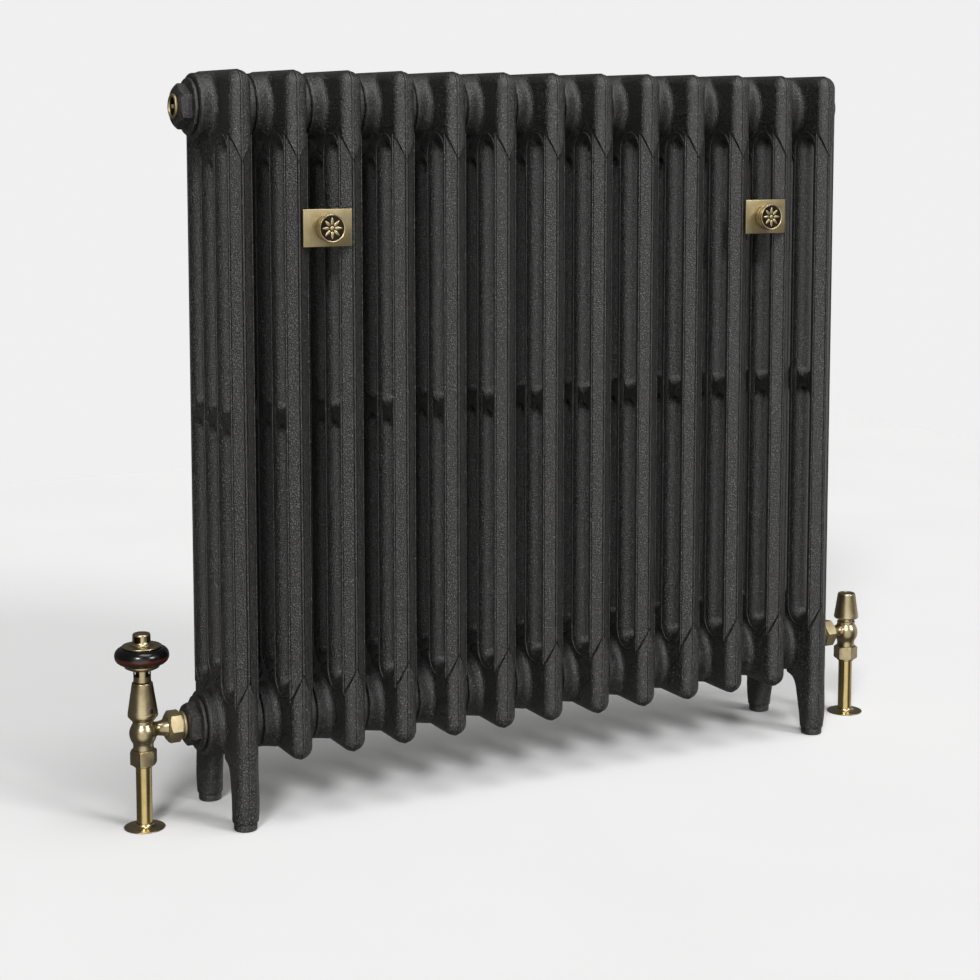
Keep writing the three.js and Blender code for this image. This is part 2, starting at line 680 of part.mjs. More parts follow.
function addPlugs() {
  const left = -HUB_FACE;
  const right = LAST_SECTION_X + HUB_FACE;
  const bush = plug(10.6);
  const ventPlug = plug(VENT_THREAD_RADIUS + 0.4);
  add(radiator, 'vent_plug', layAlongX(ventPlug, -1), paint, [left, 0, TAPPING_HIGH]);
  add(radiator, 'blank_plug', layAlongX(plug()), paint, [right, 0, TAPPING_HIGH]);
  add(radiator, 'bush_left', layAlongX(bush, -1), paint, [left, 0, TAPPING_LOW]);
  add(radiator, 'bush_right', layAlongX(bush), paint, [right, 0, TAPPING_LOW]);
  add(radiator, 'vent_body', layAlongX(ventBody(), -1), brass, [left, 0, TAPPING_HIGH]);
  add(radiator, 'vent_screw', layAlongX(ventScrew(), -1), brass, [left, 0, TAPPING_HIGH]);
}

/** The pieces that both valves share, under one prefix. */
function valvePieces(prefix, body) {
  const valve = new THREE.Group();
  add(valve, `${prefix}_body`, body, brass);
  add(valve, `${prefix}_union_tail`, unionTail(), brass);
  add(valve, `${prefix}_union_nut`, unionNut(), brass);
  add(valve, `${prefix}_compression_nut`, compressionNut(), brass);
  add(valve, `${prefix}_pipe`, pipe(), pipeBrass);
  add(valve, `${prefix}_floor_plate`, floorPlate(), brass);
  radiator.add(valve);
  return valve;
}

function addThermostaticValve() {
  const valve = valvePieces('trv', valveBody());
  add(valve, 'trv_bonnet', bonnet(), brass);
  add(valve, 'trv_neck', headNeck(), brass);
  add(valve, 'trv_wood_ring', woodRing(), wood);
  add(valve, 'trv_head_cup', headCup(), brass);
  add(valve, 'trv_finial', finial(), brass);
  add(valve, 'trv_wax_capsule', waxCapsule(), wax);
  add(valve, 'trv_pin', valvePin(), steel);
  valve.position.set(-VALVE_OFFSET, 0, 0);
}

function addLockshieldValve() {
  const valve = valvePieces('lockshield', lockshieldBody());
  add(valve, 'lockshield_spindle', lockshieldSpindle(), brass);
  add(valve, 'lockshield_cap', lockshieldCap(), brass);
  valve.position.set(LAST_SECTION_X + VALVE_OFFSET, 0, 0);
  valve.rotation.set(0, 0, Math.PI);
}

function addWallStays() {
  STAY_JOINTS.forEach((joint, i) => {
    const side = ['left', 'right'][i];
    const place = [(joint - 0.5) * SECTION_PITCH, 0, STAY_HEIGHT];
    add(radiator, `stay_plate_${side}`, stayPlate(), brass, place);
    add(radiator, `stay_knob_${side}`, stayKnob(), brass, place);
    add(radiator, `stay_rod_${side}`, stayRod(), steel, place);
    add(radiator, `wall_plate_${side}`, wallPlate(), brass, place);
  });
}

addSections();
addNipples();
addPlugs();
addThermostaticValve();
addLockshieldValve();
addWallStays();

// The origin is at the middle of the footprint: between the wooden ring and the far floor plate
// along X, and between the knobs and the wall along Y.
const farLeft = -VALVE_OFFSET - WOOD_RING_RADIUS;
const farRight = LAST_SECTION_X + VALVE_OFFSET + FLOOR_PLATE_RADIUS;
const farFront = -(KNOB_BACK + KNOB_LENGTH);
radiator.position.set(-(farLeft + farRight) / 2, -(farFront + WALL_DISTANCE) / 2, 0);

export default radiator;
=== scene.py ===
"""Looks of a four-column cast iron radiator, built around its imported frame.

Shapes are drawn in millimetres and turned into metres when they are put in place. Section castings
are drawn around their own mid-plane, plugs around the hub face they screw into, and valves around
their upright axis with the radiator towards +X.
"""
import json
import math
from itertools import product

import bmesh
import bpy
from mathutils import Matrix, Vector
from mathutils.geometry import delaunay_2d_cdt


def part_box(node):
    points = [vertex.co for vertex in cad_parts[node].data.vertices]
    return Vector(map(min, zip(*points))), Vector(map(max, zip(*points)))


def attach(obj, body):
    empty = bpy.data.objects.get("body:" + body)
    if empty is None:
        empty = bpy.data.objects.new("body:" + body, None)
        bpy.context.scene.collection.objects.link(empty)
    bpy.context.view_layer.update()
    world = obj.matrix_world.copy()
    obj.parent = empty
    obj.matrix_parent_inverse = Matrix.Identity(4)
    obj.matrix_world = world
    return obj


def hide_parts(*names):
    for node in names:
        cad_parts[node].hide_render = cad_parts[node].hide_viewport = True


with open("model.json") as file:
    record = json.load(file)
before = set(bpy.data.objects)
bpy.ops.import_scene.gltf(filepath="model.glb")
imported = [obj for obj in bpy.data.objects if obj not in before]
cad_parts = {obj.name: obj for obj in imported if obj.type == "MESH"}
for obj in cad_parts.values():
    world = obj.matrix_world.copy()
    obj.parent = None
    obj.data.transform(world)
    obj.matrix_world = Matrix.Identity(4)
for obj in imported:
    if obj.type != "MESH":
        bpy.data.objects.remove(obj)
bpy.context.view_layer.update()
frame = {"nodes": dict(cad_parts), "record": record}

MM = 0.001

# ---- Places, read from the frame -----------------------------------------------------------

NODE_BODY = {
    node: body
    for body, members in frame["record"]["behaviour"]["bodies"].items()
    for node in members
}
NODE_SLOT = {row["node"]: row["material_slot"] for row in frame["record"]["subparts"]}
SECTIONS = sorted(node for node in frame["nodes"] if node.startswith("section_"))
ROOT = NODE_BODY[SECTIONS[0]]


def middle(node):
    """The middle of a CAD node's box, in millimetres."""
    low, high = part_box(node)
    return (low + high) / 2 / MM


SECTION_X = [middle(node).x for node in SECTIONS]
DEPTH_MIDDLE = middle(SECTIONS[0]).y
PITCH = SECTION_X[1] - SECTION_X[0]
HUB_FACE = PITCH / 2

# ---- Section sizes, in millimetres ---------------------------------------------------------

LOW_AXIS, HIGH_AXIS = 100, 724
MID_HEIGHT = (LOW_AXIS + HIGH_AXIS) / 2
TOP = 760
HALF_DEPTH = 68.2
CORNER_RADIUS = 14
TOP_STRETCH = 0.22
FLANK = 11.7
RIDGE = 12.75
LIP = ((0, 0), (0.45, 0.03), (0.8, 0.25), (1, RIDGE - FLANK))
COLUMN_RADIUS = 12.2
COLUMN_PITCH = 39.2
CREST = COLUMN_PITCH / 2
CREST_Y = COLUMN_PITCH + CREST
OUTER_TURN = 677.6
MIDDLE_TURN = 660
BRIDGE_HALF_HEIGHT = 10
BRIDGE_FACE = 9.45
BRIDGE_RING = 6
ARC_STEPS = 18
CHEVRON_DROP = 27
CHEVRON_Z = 697
CHEVRON_DEPTH = 1.1

HUB_RADIUS = 33
HUB_BORE = 21
HUB_FILLET = 7
HUB_HALF_LENGTH = HUB_FACE - 0.15

FOOT_Y = 52.6
SLOT_FOOT = MID_HEIGHT + BRIDGE_HALF_HEIGHT + CREST - COLUMN_RADIUS

# ---- Small mesh tools ----------------------------------------------------------------------

ROUNDING_STEPS = 5


def make_object(bm, name="shape"):
    """A new object holding a bmesh, which is used up."""
    mesh = bpy.data.meshes.new(name)
    bm.to_mesh(mesh)
    bm.free()
    obj = bpy.data.objects.new(name, mesh)
    bpy.context.scene.collection.objects.link(obj)
    return obj


def discard(obj):
    mesh = obj.data
    bpy.data.objects.remove(obj)
    bpy.data.meshes.remove(mesh)


def combine(base, tools, operation):
    """The base joined with, or cut by, each tool in turn. The tools are used up."""
    for tool in tools:
        modifier = base.modifiers.new("combine", "BOOLEAN")
        modifier.operation = operation
        modifier.solver = "EXACT"
        modifier.object = tool
    bpy.context.view_layer.update()
    evaluated = base.evaluated_get(bpy.context.evaluated_depsgraph_get())
    mesh = bpy.data.meshes.new_from_object(evaluated)
    old = base.data
    base.modifiers.clear()
    base.data = mesh
    bpy.data.meshes.remove(old)
    for tool in tools:
        discard(tool)
    return base


def join(base, *tools):
    return combine(base, tools, "UNION")


def cut(base, *tools):
    return combine(base, tools, "DIFFERENCE")


def clip(base, tool):
    return combine(base, [tool], "INTERSECT")


def moved(obj, x=0, y=0, z=0):
    obj.data.transform(Matrix.Translation((x, y, z)))
    return obj


def turned_to(obj, axis):
    """Turns a shape drawn along +Z so that it points along another axis."""
    obj.data.transform(Vector((0, 0, 1)).rotation_difference(Vector(axis)).to_matrix().to_4x4())
    return obj


def loft(bm, rings):
    """Faces between neighbouring rings of corners, with a lid at each end."""
    count = len(rings[0])
    for here, there in zip(rings, rings[1:]):
        for k in range(count):
            bm.faces.new((here[k], here[(k + 1) % count], there[(k + 1) % count], there[k]))
    bm.faces.new(rings[0][::-1])
    bm.faces.new(rings[-1])


def weld(bm, distance=0.002):
    bmesh.ops.remove_doubles(bm, verts=bm.verts, dist=distance)
    bmesh.ops.recalc_face_normals(bm, faces=bm.faces)
    return bm


def rounded(corners, closed):
    """The (radius, height[, rounding]) corners of an outline, with a curve at each rounded one."""
    points = []
    count = len(corners)
    for i, corner in enumerate(corners):
        here = Vector(corner[:2])
        inside = closed or 0 < i < count - 1
        if len(corner) < 3 or not inside:
            points.append(here)
            continue
        before = Vector(corners[i - 1][:2]) - here
        after = Vector(corners[(i + 1) % count][:2]) - here
        start = here + before * min(0.5, corner[2] / before.length)
        end = here + after * min(0.5, corner[2] / after.length)
        for k in range(ROUNDING_STEPS + 1):
            t = k / ROUNDING_STEPS
            points.append(start * (1 - t) ** 2 + here * 2 * t * (1 - t) + end * t ** 2)
    return points


def turned(corners, sides=64):
    """A solid turned about Z. Its outline starts and ends on the axis, or closes on itself."""
    ring = corners[0][0] > 0
    outline = rounded(corners, ring)
    bm = bmesh.new()
    columns = []
    for k in range(sides):
        angle = 2 * math.pi * k / sides
        across = Vector((math.cos(angle), math.sin(angle), 0))
        columns.append([bm.verts.new(across * r + Vector((0, 0, z))) for r, z in outline])
    last = len(outline) if ring else len(outline) - 1
    for k in range(sides):
        here, there = columns[k], columns[(k + 1) % sides]
        for i in range(last):
            j = (i + 1) % len(outline)
            bm.faces.new((here[i], there[i], there[j], here[j]))
    return make_object(weld(bm, 1e-4))


def bar(radius, bottom, top, sides=48):
    """A plain round bar, used as a tool."""
    return turned([(0, bottom), (radius, bottom), (radius, top), (0, top)], sides)


def prism(outline, bottom, top, edge):
    """An outline in XY pulled up between two heights, with its upright edges bevelled."""
    bm = bmesh.new()
    low = [bm.verts.new((x, y, bottom)) for x, y in outline]
    high = [bm.verts.new((x, y, top)) for x, y in outline]
    count = len(outline)
    upright = []
    for i in range(count):
        j = (i + 1) % count
        bm.faces.new((low[i], low[j], high[j], high[i]))
        upright.append((low[i], high[i]))
    bm.faces.new(high)
    bm.faces.new(low[::-1])
    edges = [bm.edges.get(pair) for pair in upright]
    bmesh.ops.bevel(bm, geom=edges, offset=edge, segments=3, affect="EDGES", profile=0.5)
    bmesh.ops.recalc_face_normals(bm, faces=bm.faces)
    return make_object(bm)


def box(low, high, edge=0):
    """A box, with all its edges bevelled or sharp."""
    bm = bmesh.new()
    size = Vector(high) - Vector(low)
    centre = (Vector(high) + Vector(low)) / 2
    bmesh.ops.create_cube(bm, size=1, matrix=Matrix.Translation(centre) @ Matrix.Diagonal((*size, 1)))
    if edge:
        bmesh.ops.bevel(bm, geom=bm.edges[:], offset=edge, segments=3, affect="EDGES", profile=0.5)
    return make_object(bm)


def hexagon(corner_radius, bottom, top, chamfer, bottom_chamfer, face):
    """A hexagon nut blank: sharp flats, with its end corners turned off as a lathe leaves them."""
    outline = [
        (corner_radius * math.cos(k * math.pi / 3), corner_radius * math.sin(k * math.pi / 3))
        for k in range(6)
    ]
    flat = corner_radius * math.cos(math.pi / 6)
    reach = corner_radius + 0.5
    blank = prism(outline, bottom - 1, top + 1, edge=0.3)
    lathe = turned([
        (0, bottom), (flat - 0.4, bottom, 0.2), (reach, bottom + bottom_chamfer, 0.1),
        (reach, top - chamfer, 0.1), (face, top, 0.3), (0, top),
    ], 72)
    return clip(blank, lathe)


# ---- Section casting -----------------------------------------------------------------------


def slot_profile():
    """(distance from a slot's middle line, half thickness): a round column side and its ridge.

    The ring numbered BRIDGE_RING lies where the bridge's flat face meets the column.
    """
    points = []
    for degrees in (0, 8, 17, 26, 35, 44, math.degrees(math.asin(BRIDGE_FACE / FLANK)), 61, 70, 79):
        angle = math.radians(degrees)
        points.append((CREST - COLUMN_RADIUS * math.cos(angle), FLANK * math.sin(angle)))
    return points + [(CREST - reach, RIDGE - fall) for reach, fall in reversed(LIP)]


def arc(y, z, radius, start, end, steps=ARC_STEPS):
    """Points in the YZ plane round a centre, from one angle to another in degrees."""
    points = []
    for k in range(steps + 1):
        angle = math.radians(start + (end - start) * k / steps)
        points.append((y + radius * math.cos(angle), z + radius * math.sin(angle)))
    return points


def with_height(points, height):
    return [(height, y, z) for y, z in points]


def strips(rows):
    """Four-cornered faces between neighbouring rows of points."""
    faces = []
    for a, b in zip(rows, rows[1:]):
        for i in range(len(a) - 1):
            faces.append((a[i], a[i + 1], b[i + 1], b[i]))
    return faces


def slot_faces(y, turn, full):
    """One quarter of a slot: its side, rounded end and the bridge half-way up.

    A full slot has both its sides at positive Y; the middle one has only the right side there.
    """
    sweep = 180 if full else 90
    steps = ARC_STEPS if full else ARC_STEPS // 2
    upper, lower, right, left = [], [], [], []
    profile = slot_profile()
    for ring, (radius, height) in enumerate(profile):
        points = [(y + radius, SLOT_FOOT)] + arc(y, turn, radius, 0, sweep, steps)
        if full:
            if turn > MIDDLE_TURN:
                points.append((y - radius, MIDDLE_TURN))
            points.append((y - radius, SLOT_FOOT))
        upper.append(with_height(points, height))
        if ring <= BRIDGE_RING:
            lower.append(with_height(arc(y, SLOT_FOOT, radius, 0, -sweep, steps), height))
        if ring >= BRIDGE_RING:
            right.append(with_height([(y + radius, SLOT_FOOT), (y + radius, MID_HEIGHT)], height))
            left.append(with_height([(y - radius, SLOT_FOOT), (y - radius, MID_HEIGHT)], height))
    face_edge = lower[-1]
    web = [face_edge, [(x, py, MID_HEIGHT) for x, py, _ in face_edge]]
    faces = strips(upper) + strips(lower) + strips(right) + strips(web)
    if full:
        faces += strips(left)
    return faces


def ridge_height(y, z):
    """Half thickness of the flat flank, with the raised lip round the slots and along the crest."""
    distances = [math.dist((y, z), (CREST_Y, min(z, CHEVRON_Z)))]
    for slot_y, turn in ((0, MIDDLE_TURN), (COLUMN_PITCH, OUTER_TURN)):
        distances.append(abs(math.dist((y, z), (slot_y, min(z, turn))) - CREST))
    nearest = min(distances)
    for (reach, fall), (next_reach, next_fall) in zip(LIP, LIP[1:]):
        if nearest <= next_reach + 1e-4:
            share = (nearest - reach) / (next_reach - reach)
            return RIDGE - fall - (next_fall - fall) * share
    return FLANK


NOSE_X = (0, 0.7, 1.05, 1.2, 1.35, 1.6, 1.9, 4.8, 6.8, 8.8, 10.6)
EDGE_X = (11.1, 11.4, 11.55, 11.65)
NOSE_RIB = (68.2, 68.15, 68, 67.75, 67.25, 67.3)
FACET_BEAD = (68.2, 68.15, 67.8, 67.2, 66.2, 66.25)
FACET_START, FACET_END = (1.9, 67.4), (10.7, 60.4)


def nose_row():
    """(half thickness, y) of the smooth front edge, with the casting's fine rib down its middle."""
    points = []
    for i, x in enumerate(NOSE_X + EDGE_X):
        round_y = CREST_Y + (HALF_DEPTH - 0.4 - CREST_Y) * math.sqrt(1 - (x / FLANK) ** 2)
        points.append((x, NOSE_RIB[i] if i < len(NOSE_RIB) else round_y))
    return points + [(FLANK, CREST_Y)]


def facet_row():
    """(half thickness, y) of the faceted front edge: bead, fine groove, slope and crest lip."""
    points = []
    for i, x in enumerate(NOSE_X):
        share = (x - FACET_START[0]) / (FACET_END[0] - FACET_START[0])
        slope_y = FACET_START[1] + share * (FACET_END[1] - FACET_START[1])
        points.append((x, FACET_BEAD[i] if i < len(FACET_BEAD) else slope_y))
    groove = [(11, CREST_Y + 0.5), (11.35, CREST_Y + 0.5)]
    return points + groove + [(11.5, CREST_Y + 1.3), (12.5, CREST_Y + 1.1), (RIDGE, CREST_Y)]


def front_faces():
    """The front edge and top of one upper quarter, from mid-height over the corner to the middle."""
    nose, facet = nose_row(), facet_row()
    groove = [(x, y - CHEVRON_DEPTH * min(1, (RIDGE - x) / 2)) for x, y in facet]
    rows = []
    for z, drop, shape in (
        (MID_HEIGHT, 0, facet), (SLOT_FOOT, 0, facet), (OUTER_TURN, CHEVRON_DROP, facet),
        (CHEVRON_Z - 1.6, CHEVRON_DROP, facet), (CHEVRON_Z - 1, CHEVRON_DROP, groove),
        (CHEVRON_Z + 0.4, CHEVRON_DROP, groove), (CHEVRON_Z + 1, CHEVRON_DROP, nose),
        (707, 20, nose), (719, 11, nose), (732, 4, nose),
    ):
        rows.append([(x, y, z - drop * (1 - min(1, x / FLANK))) for x, y in shape])
    corner_y, corner_z = HALF_DEPTH - CORNER_RADIUS, TOP - CORNER_RADIUS
    for degrees in range(0, 91, 9):
        angle = math.radians(degrees)
        stretch = 1 + TOP_STRETCH * degrees / 90
        radii = [CORNER_RADIUS - (HALF_DEPTH - y) * stretch for _, y in nose]
        rows.append([
            (x, corner_y + radius * math.cos(angle), corner_z + radius * math.sin(angle))
            for (x, _), radius in zip(nose, radii)
        ])
    for share in (0.8, 0.6, 0.4, 0.2, 0):
        rows.append([(x, corner_y * share, z) for x, _, z in rows[-1]])
    for row in rows:
        _, y, z = row[-1]
        row[-1] = (ridge_height(y, z), y, z)
    return strips(rows), [row[-1][1:] for row in rows]


def header_faces(crest_line):
    """The flat flank between the slots' rounded ends and the crest, in one upper quarter."""
    middle_arc = arc(0, MIDDLE_TURN, CREST, 90, 0, ARC_STEPS // 2)
    outer_arc = arc(COLUMN_PITCH, OUTER_TURN, CREST, 180, 0)
    outside = [point for point in crest_line if point[1] > OUTER_TURN]
    loop = middle_arc + outer_arc + outside
    count = len(loop)
    inner = []
    for reach, _ in LIP[1:]:
        inner += arc(0, MIDDLE_TURN, CREST + reach, 90, 20, 12)
        inner += arc(COLUMN_PITCH, OUTER_TURN, CREST + reach, 155, 10, 24)
        inner += [(CREST_Y - reach, z) for z in (684, 690, 694, CHEVRON_Z + 0.8)]
    vectors = [Vector(point) for point in loop + inner]
    edges = [(i, (i + 1) % count) for i in range(count)]
    points, _, triangles, _, _, _ = delaunay_2d_cdt(vectors, edges, [], 1, 1e-4)
    corners = [(ridge_height(p.x, p.y), p.x, p.y) for p in points]
    return [[corners[i] for i in face] for face in triangles]


def smooth_step(value, start, end):
    share = min(1, max(0, (value - start) / (end - start)))
    return share * share * (3 - 2 * share)


def hub(outward):
    """A hub through the section, flared on its outward side to meet the section's rounded end."""
    bm = bmesh.new()
    rings = []
    sides = 96
    flare, flare_end = TOP - HIGH_AXIS - HUB_RADIUS - 0.1, 25.5
    places = [0, 3, 6, 9]
    for degrees in (0, 20, 35, 50, 70, 90):
        places.append(FLANK + HUB_FILLET * (1 - math.cos(math.radians(degrees))))
    places += [20.5, 22.5, 24, flare_end]
    shoulder = [(2.4, 0), (1.5, 0.2), (0.8, 0.7), (0.3, 1.5), (0.05, 2.2), (0, 2.6)]
    for k in range(sides):
        angle = 2 * math.pi * k / sides
        share = smooth_step(outward * math.sin(angle), 0.55, 0.95)
        half = []
        for x in places:
            inside = min(HUB_FILLET, max(0, x - FLANK))
            small = HUB_FILLET - math.sqrt(HUB_FILLET ** 2 - (HUB_FILLET - inside) ** 2)
            wide = flare * (1 - smooth_step(x, 1, flare_end))
            half.append((x, HUB_RADIUS + share * wide + (1 - share) * small))
        half += [(HUB_HALF_LENGTH - back, HUB_RADIUS - down) for back, down in shoulder]
        half.append((HUB_HALF_LENGTH, 0))
        whole = [(-x, r) for x, r in reversed(half[1:])] + half
        rings.append([bm.verts.new((x, r * math.cos(angle), r * math.sin(angle))) for x, r in whole])
    for k in range(sides):
        here, there = rings[k], rings[(k + 1) % sides]
        for i in range(len(here) - 1):
            bm.faces.new((here[i], there[i], there[i + 1], here[i + 1]))
    return make_object(weld(bm))


def foot_ring(inner, outer, half_x, nose_share):
    """One level of a foot: round near the floor, with the casting's nose as its outer end above."""
    join_y = FOOT_Y + (CREST_Y - FOOT_Y) * nose_share
    quarter = []
    for x, nose_y in nose_row():
        share = x / FLANK
        round_y = join_y + (outer - join_y) * math.sqrt(1 - share ** 2)
        quarter.append((share * half_x, round_y + (nose_y - round_y) * nose_share))
    points = [(-x, y) for x, y in reversed(quarter[1:])] + quarter
    power = 2 + 0.8 * nose_share
    for degrees in range(10, 180, 10):
        c, s = math.cos(math.radians(degrees)), math.sin(math.radians(degrees))
        scale = (abs(c) ** power + abs(s) ** power) ** (-1 / power)
        points.append((half_x * c * scale, join_y - (join_y - inner) * s * scale))
    return points


def foot(side):
    """One foot: a round pad, a groove and a leg that runs straight up into the casting's nose."""
    pad = (
        # height, radius
        (0, 11.2), (0.8, 11.8), (5.4, 11.9), (6.1, 11.3),
        (6.7, 11.3), (7.4, 12.6), (8.8, 13.3), (11, 13.5),
    )
    levels = [(z, FOOT_Y - radius, FOOT_Y + radius, radius, 0) for z, radius in pad]
    levels += [
        # height, inner end, outer end, half width, share of the nose's shape
        (20, 36.9, 67.1, 13.2, 0.3), (32, 33.4, 67.9, 12.6, 0.7), (44, 29.8, 68.1, 12.1, 0.95),
        (51, 27.4, 68.2, 11.8, 1), (55.5, 25.2, 68.2, 11.7, 1), (59, 22.2, 68.2, 11.65, 1),
        (61.4, 18.4, 68.2, 11.6, 1), (63, 13.6, 68.2, 11.55, 1), (64, 7.6, 68.2, 11.5, 1),
        (86, 6, 68.2, 11.4, 1),
    ]
    bm = bmesh.new()
    rings = []
    for z, inner, outer, half_x, nose_share in levels:
        outline = foot_ring(inner, outer, half_x, nose_share)
        rings.append([bm.verts.new((x, side * y, z)) for x, y in outline])
    loft(bm, rings)
    bmesh.ops.recalc_face_normals(bm, faces=bm.faces)
    return make_object(bm)


def section_casting(with_feet):
    """A whole section casting, bored through its hubs, with two feet or none."""
    front, crest_line = front_faces()
    quarter = front + header_faces(crest_line)
    quarter += slot_faces(0, MIDDLE_TURN, False) + slot_faces(COLUMN_PITCH, OUTER_TURN, True)
    bm = bmesh.new()
    for sx, sy, sz in product((1, -1), repeat=3):
        for face in quarter:
            corners = [(sx * x, sy * y, MID_HEIGHT + sz * (z - MID_HEIGHT)) for x, y, z in face]
            bm.faces.new([bm.verts.new(corner) for corner in corners])
    weld(bm, 0.01)
    bmesh.ops.dissolve_degenerate(bm, dist=1e-3, edges=bm.edges)
    solids = [moved(hub(-1), z=LOW_AXIS), moved(hub(1), z=HIGH_AXIS)]
    if with_feet:
        solids += [foot(-1), foot(1)]
    casting = join(make_object(bm), *solids)
    reach = HUB_FACE + 1
    bores = [moved(turned_to(bar(HUB_BORE, -reach, reach), (1, 0, 0)), z=z) for z in (LOW_AXIS, HIGH_AXIS)]
    return cut(casting, *bores)


# ---- Materials -----------------------------------------------------------------------------


def srgb(red, green, blue):
    """A 0-255 colour as linear numbers."""
    channels = []
    for value in (red, green, blue):
        share = value / 255
        channels.append(share / 12.92 if share <= 0.04045 else ((share + 0.055) / 1.055) ** 2.4)
    return (*channels, 1)


class Surface:
    """One procedural material and short calls for its nodes."""

    def __init__(self, name):
        self.material = bpy.data.materials.new(name)
        self.material.use_nodes = True
        self.tree = self.material.node_tree
        self.shader = self.tree.nodes["Principled BSDF"]
        self.place = self.add("ShaderNodeTexCoord").outputs["Object"]

    def add(self, kind, **settings):
        node = self.tree.nodes.new(kind)
        for key, value in settings.items():
            setattr(node, key, value)
        return node

    def link(self, source, target):
        self.tree.links.new(source, target)

    def set(self, **values):
        """Sets shader sockets by name, with _ for a space."""
        for key, value in values.items():
            self.shader.inputs[key.replace("_", " ")].default_value = value
        return self

    def stretched(self, scale):
        mapping = self.add("ShaderNodeMapping")
        mapping.inputs["Scale"].default_value = scale
        self.link(self.place, mapping.inputs["Vector"])
        return mapping.outputs["Vector"]

    def noise(self, scale, detail, stretch=None, roughness=0.5, distortion=0):
        node = self.add("ShaderNodeTexNoise")
        node.inputs["Scale"].default_value = scale
        node.inputs["Detail"].default_value = detail
        node.inputs["Roughness"].default_value = roughness
        node.inputs["Distortion"].default_value = distortion
        self.link(self.stretched(stretch) if stretch else self.place, node.inputs["Vector"])
        return node.outputs["Fac"]

    def ramp(self, factor, stops):
        node = self.add("ShaderNodeValToRGB")
        ramp = node.color_ramp
        while len(ramp.elements) < len(stops):
            ramp.elements.new(0.5)
        for element, (position, color) in zip(ramp.elements, stops):
            element.position = position
            element.color = color if isinstance(color, tuple) else (color, color, color, 1)
        self.link(factor, node.inputs["Fac"])
        return node.outputs["Color"]

    def mix(self, factor, first, second, blend="MIX"):
        node = self.add("ShaderNodeMix", data_type="RGBA", blend_type=blend)
        for socket, value in ((node.inputs[0], factor), (node.inputs[6], first), (node.inputs[7], second)):
            if isinstance(value, (float, int, tuple)):
                socket.default_value = value
            else:
                self.link(value, socket)
        return node.outputs[2]

    def bump(self, height, strength, distance, normal=None):
        node = self.add("ShaderNodeBump")
        node.inputs["Strength"].default_value = strength
        node.inputs["Distance"].default_value = distance
        self.link(height, node.inputs["Height"])
        if normal is not None:
            self.link(normal, node.inputs["Normal"])
        return node.outputs["Normal"]

    def color(self, source):
        self.link(source, self.shader.inputs["Base Color"])

    def roughness(self, source):
        self.link(source, self.shader.inputs["Roughness"])

    def normal(self, source):
        self.link(source, self.shader.inputs["Normal"])


def graphite_paint():
    """Satin graphite paint over sand-cast iron: fine grain, soft dust and faint brown in places."""
    s = Surface("graphite_paint").set(Metallic=0.0, Specular_IOR_Level=0.75)
    grain = s.noise(760, 2, roughness=0.6)
    clouds = s.noise(9, 3)
    speckle = s.noise(420, 2)
    base = s.ramp(grain, [
        (0.42, srgb(4, 4, 3)), (0.51, srgb(24, 23, 22)), (0.58, srgb(52, 51, 50)),
        (0.67, srgb(110, 110, 110)),
    ])
    warm = s.ramp(clouds, [(0.35, srgb(112, 104, 96)), (0.65, srgb(136, 134, 132))])
    s.color(s.mix(0.5, base, s.mix(1.0, base, warm, "OVERLAY")))
    s.roughness(s.ramp(speckle, [(0.3, 0.34), (0.7, 0.5)]))
    coarse = s.bump(s.noise(330, 2), 0.4, 0.0004)
    s.normal(s.bump(grain, 1.0, 0.0009, coarse))
    return s.material


def antique_brass(name, light, dark, roughness, streak):
    """Satin brass, turned or drawn along one axis, with a thin uneven patina."""
    s = Surface(name).set(Metallic=1.0)
    patina = s.noise(46, 4, roughness=0.55)
    marks = s.noise(1.0, 2, stretch=streak)
    tone = s.ramp(patina, [(0.3, dark), (0.7, light)])
    s.color(s.mix(0.18, tone, s.ramp(marks, [(0.3, dark), (0.7, light)])))
    s.roughness(s.ramp(s.noise(90, 2), [(0.3, roughness - 0.03), (0.7, roughness + 0.05)]))
    s.normal(s.bump(marks, 0.12, 0.00004))
    return s.material


def dark_wood(low, high):
    """Lacquered turned wood: red-brown round its lower half, black above it and underneath."""
    s = Surface("dark_wood").set(Coat_Weight=0.4, Coat_Roughness=0.06, Specular_IOR_Level=0.3)
    split = s.add("ShaderNodeSeparateXYZ")
    s.link(s.place, split.inputs["Vector"])
    height = s.add("ShaderNodeMapRange")
    height.inputs["From Min"].default_value = low
    height.inputs["From Max"].default_value = high
    s.link(split.outputs["Z"], height.inputs["Value"])
    bands = s.ramp(height.outputs["Result"], [
        (0.1, srgb(14, 8, 7)), (0.26, srgb(60, 24, 12)), (0.44, srgb(78, 34, 17)), (0.56, srgb(11, 9, 9)),
    ])
    grain = s.noise(1.0, 5, stretch=(90, 90, 700), distortion=0.6)
    s.color(s.mix(0.3, bands, s.ramp(grain, [(0.35, 0.0), (0.7, srgb(96, 44, 26))]), "OVERLAY"))
    s.roughness(s.ramp(grain, [(0.3, 0.22), (0.7, 0.34)]))
    s.normal(s.bump(grain, 0.08, 0.0001))
    return s.material


def plain_metal(name, light, dark, roughness, metallic=1.0):
    """Bare iron, steel or moulded plastic seen only in gaps."""
    s = Surface(name).set(Metallic=metallic)
    mottle = s.noise(220, 4)
    s.color(s.ramp(mottle, [(0.3, dark), (0.7, light)]))
    s.roughness(s.ramp(s.noise(90, 2), [(0.3, roughness), (0.7, roughness + 0.15)]))
    s.normal(s.bump(mottle, 0.2, 0.0002))
    return s.material


BRASS_LIGHT, BRASS_DARK = srgb(200, 186, 150), srgb(150, 136, 104)
PIPE_LIGHT, PIPE_DARK = srgb(206, 186, 130), srgb(176, 156, 106)
ALONG_X, ALONG_Y, ALONG_Z = (2600, 40, 40), (40, 2600, 40), (40, 40, 2600)

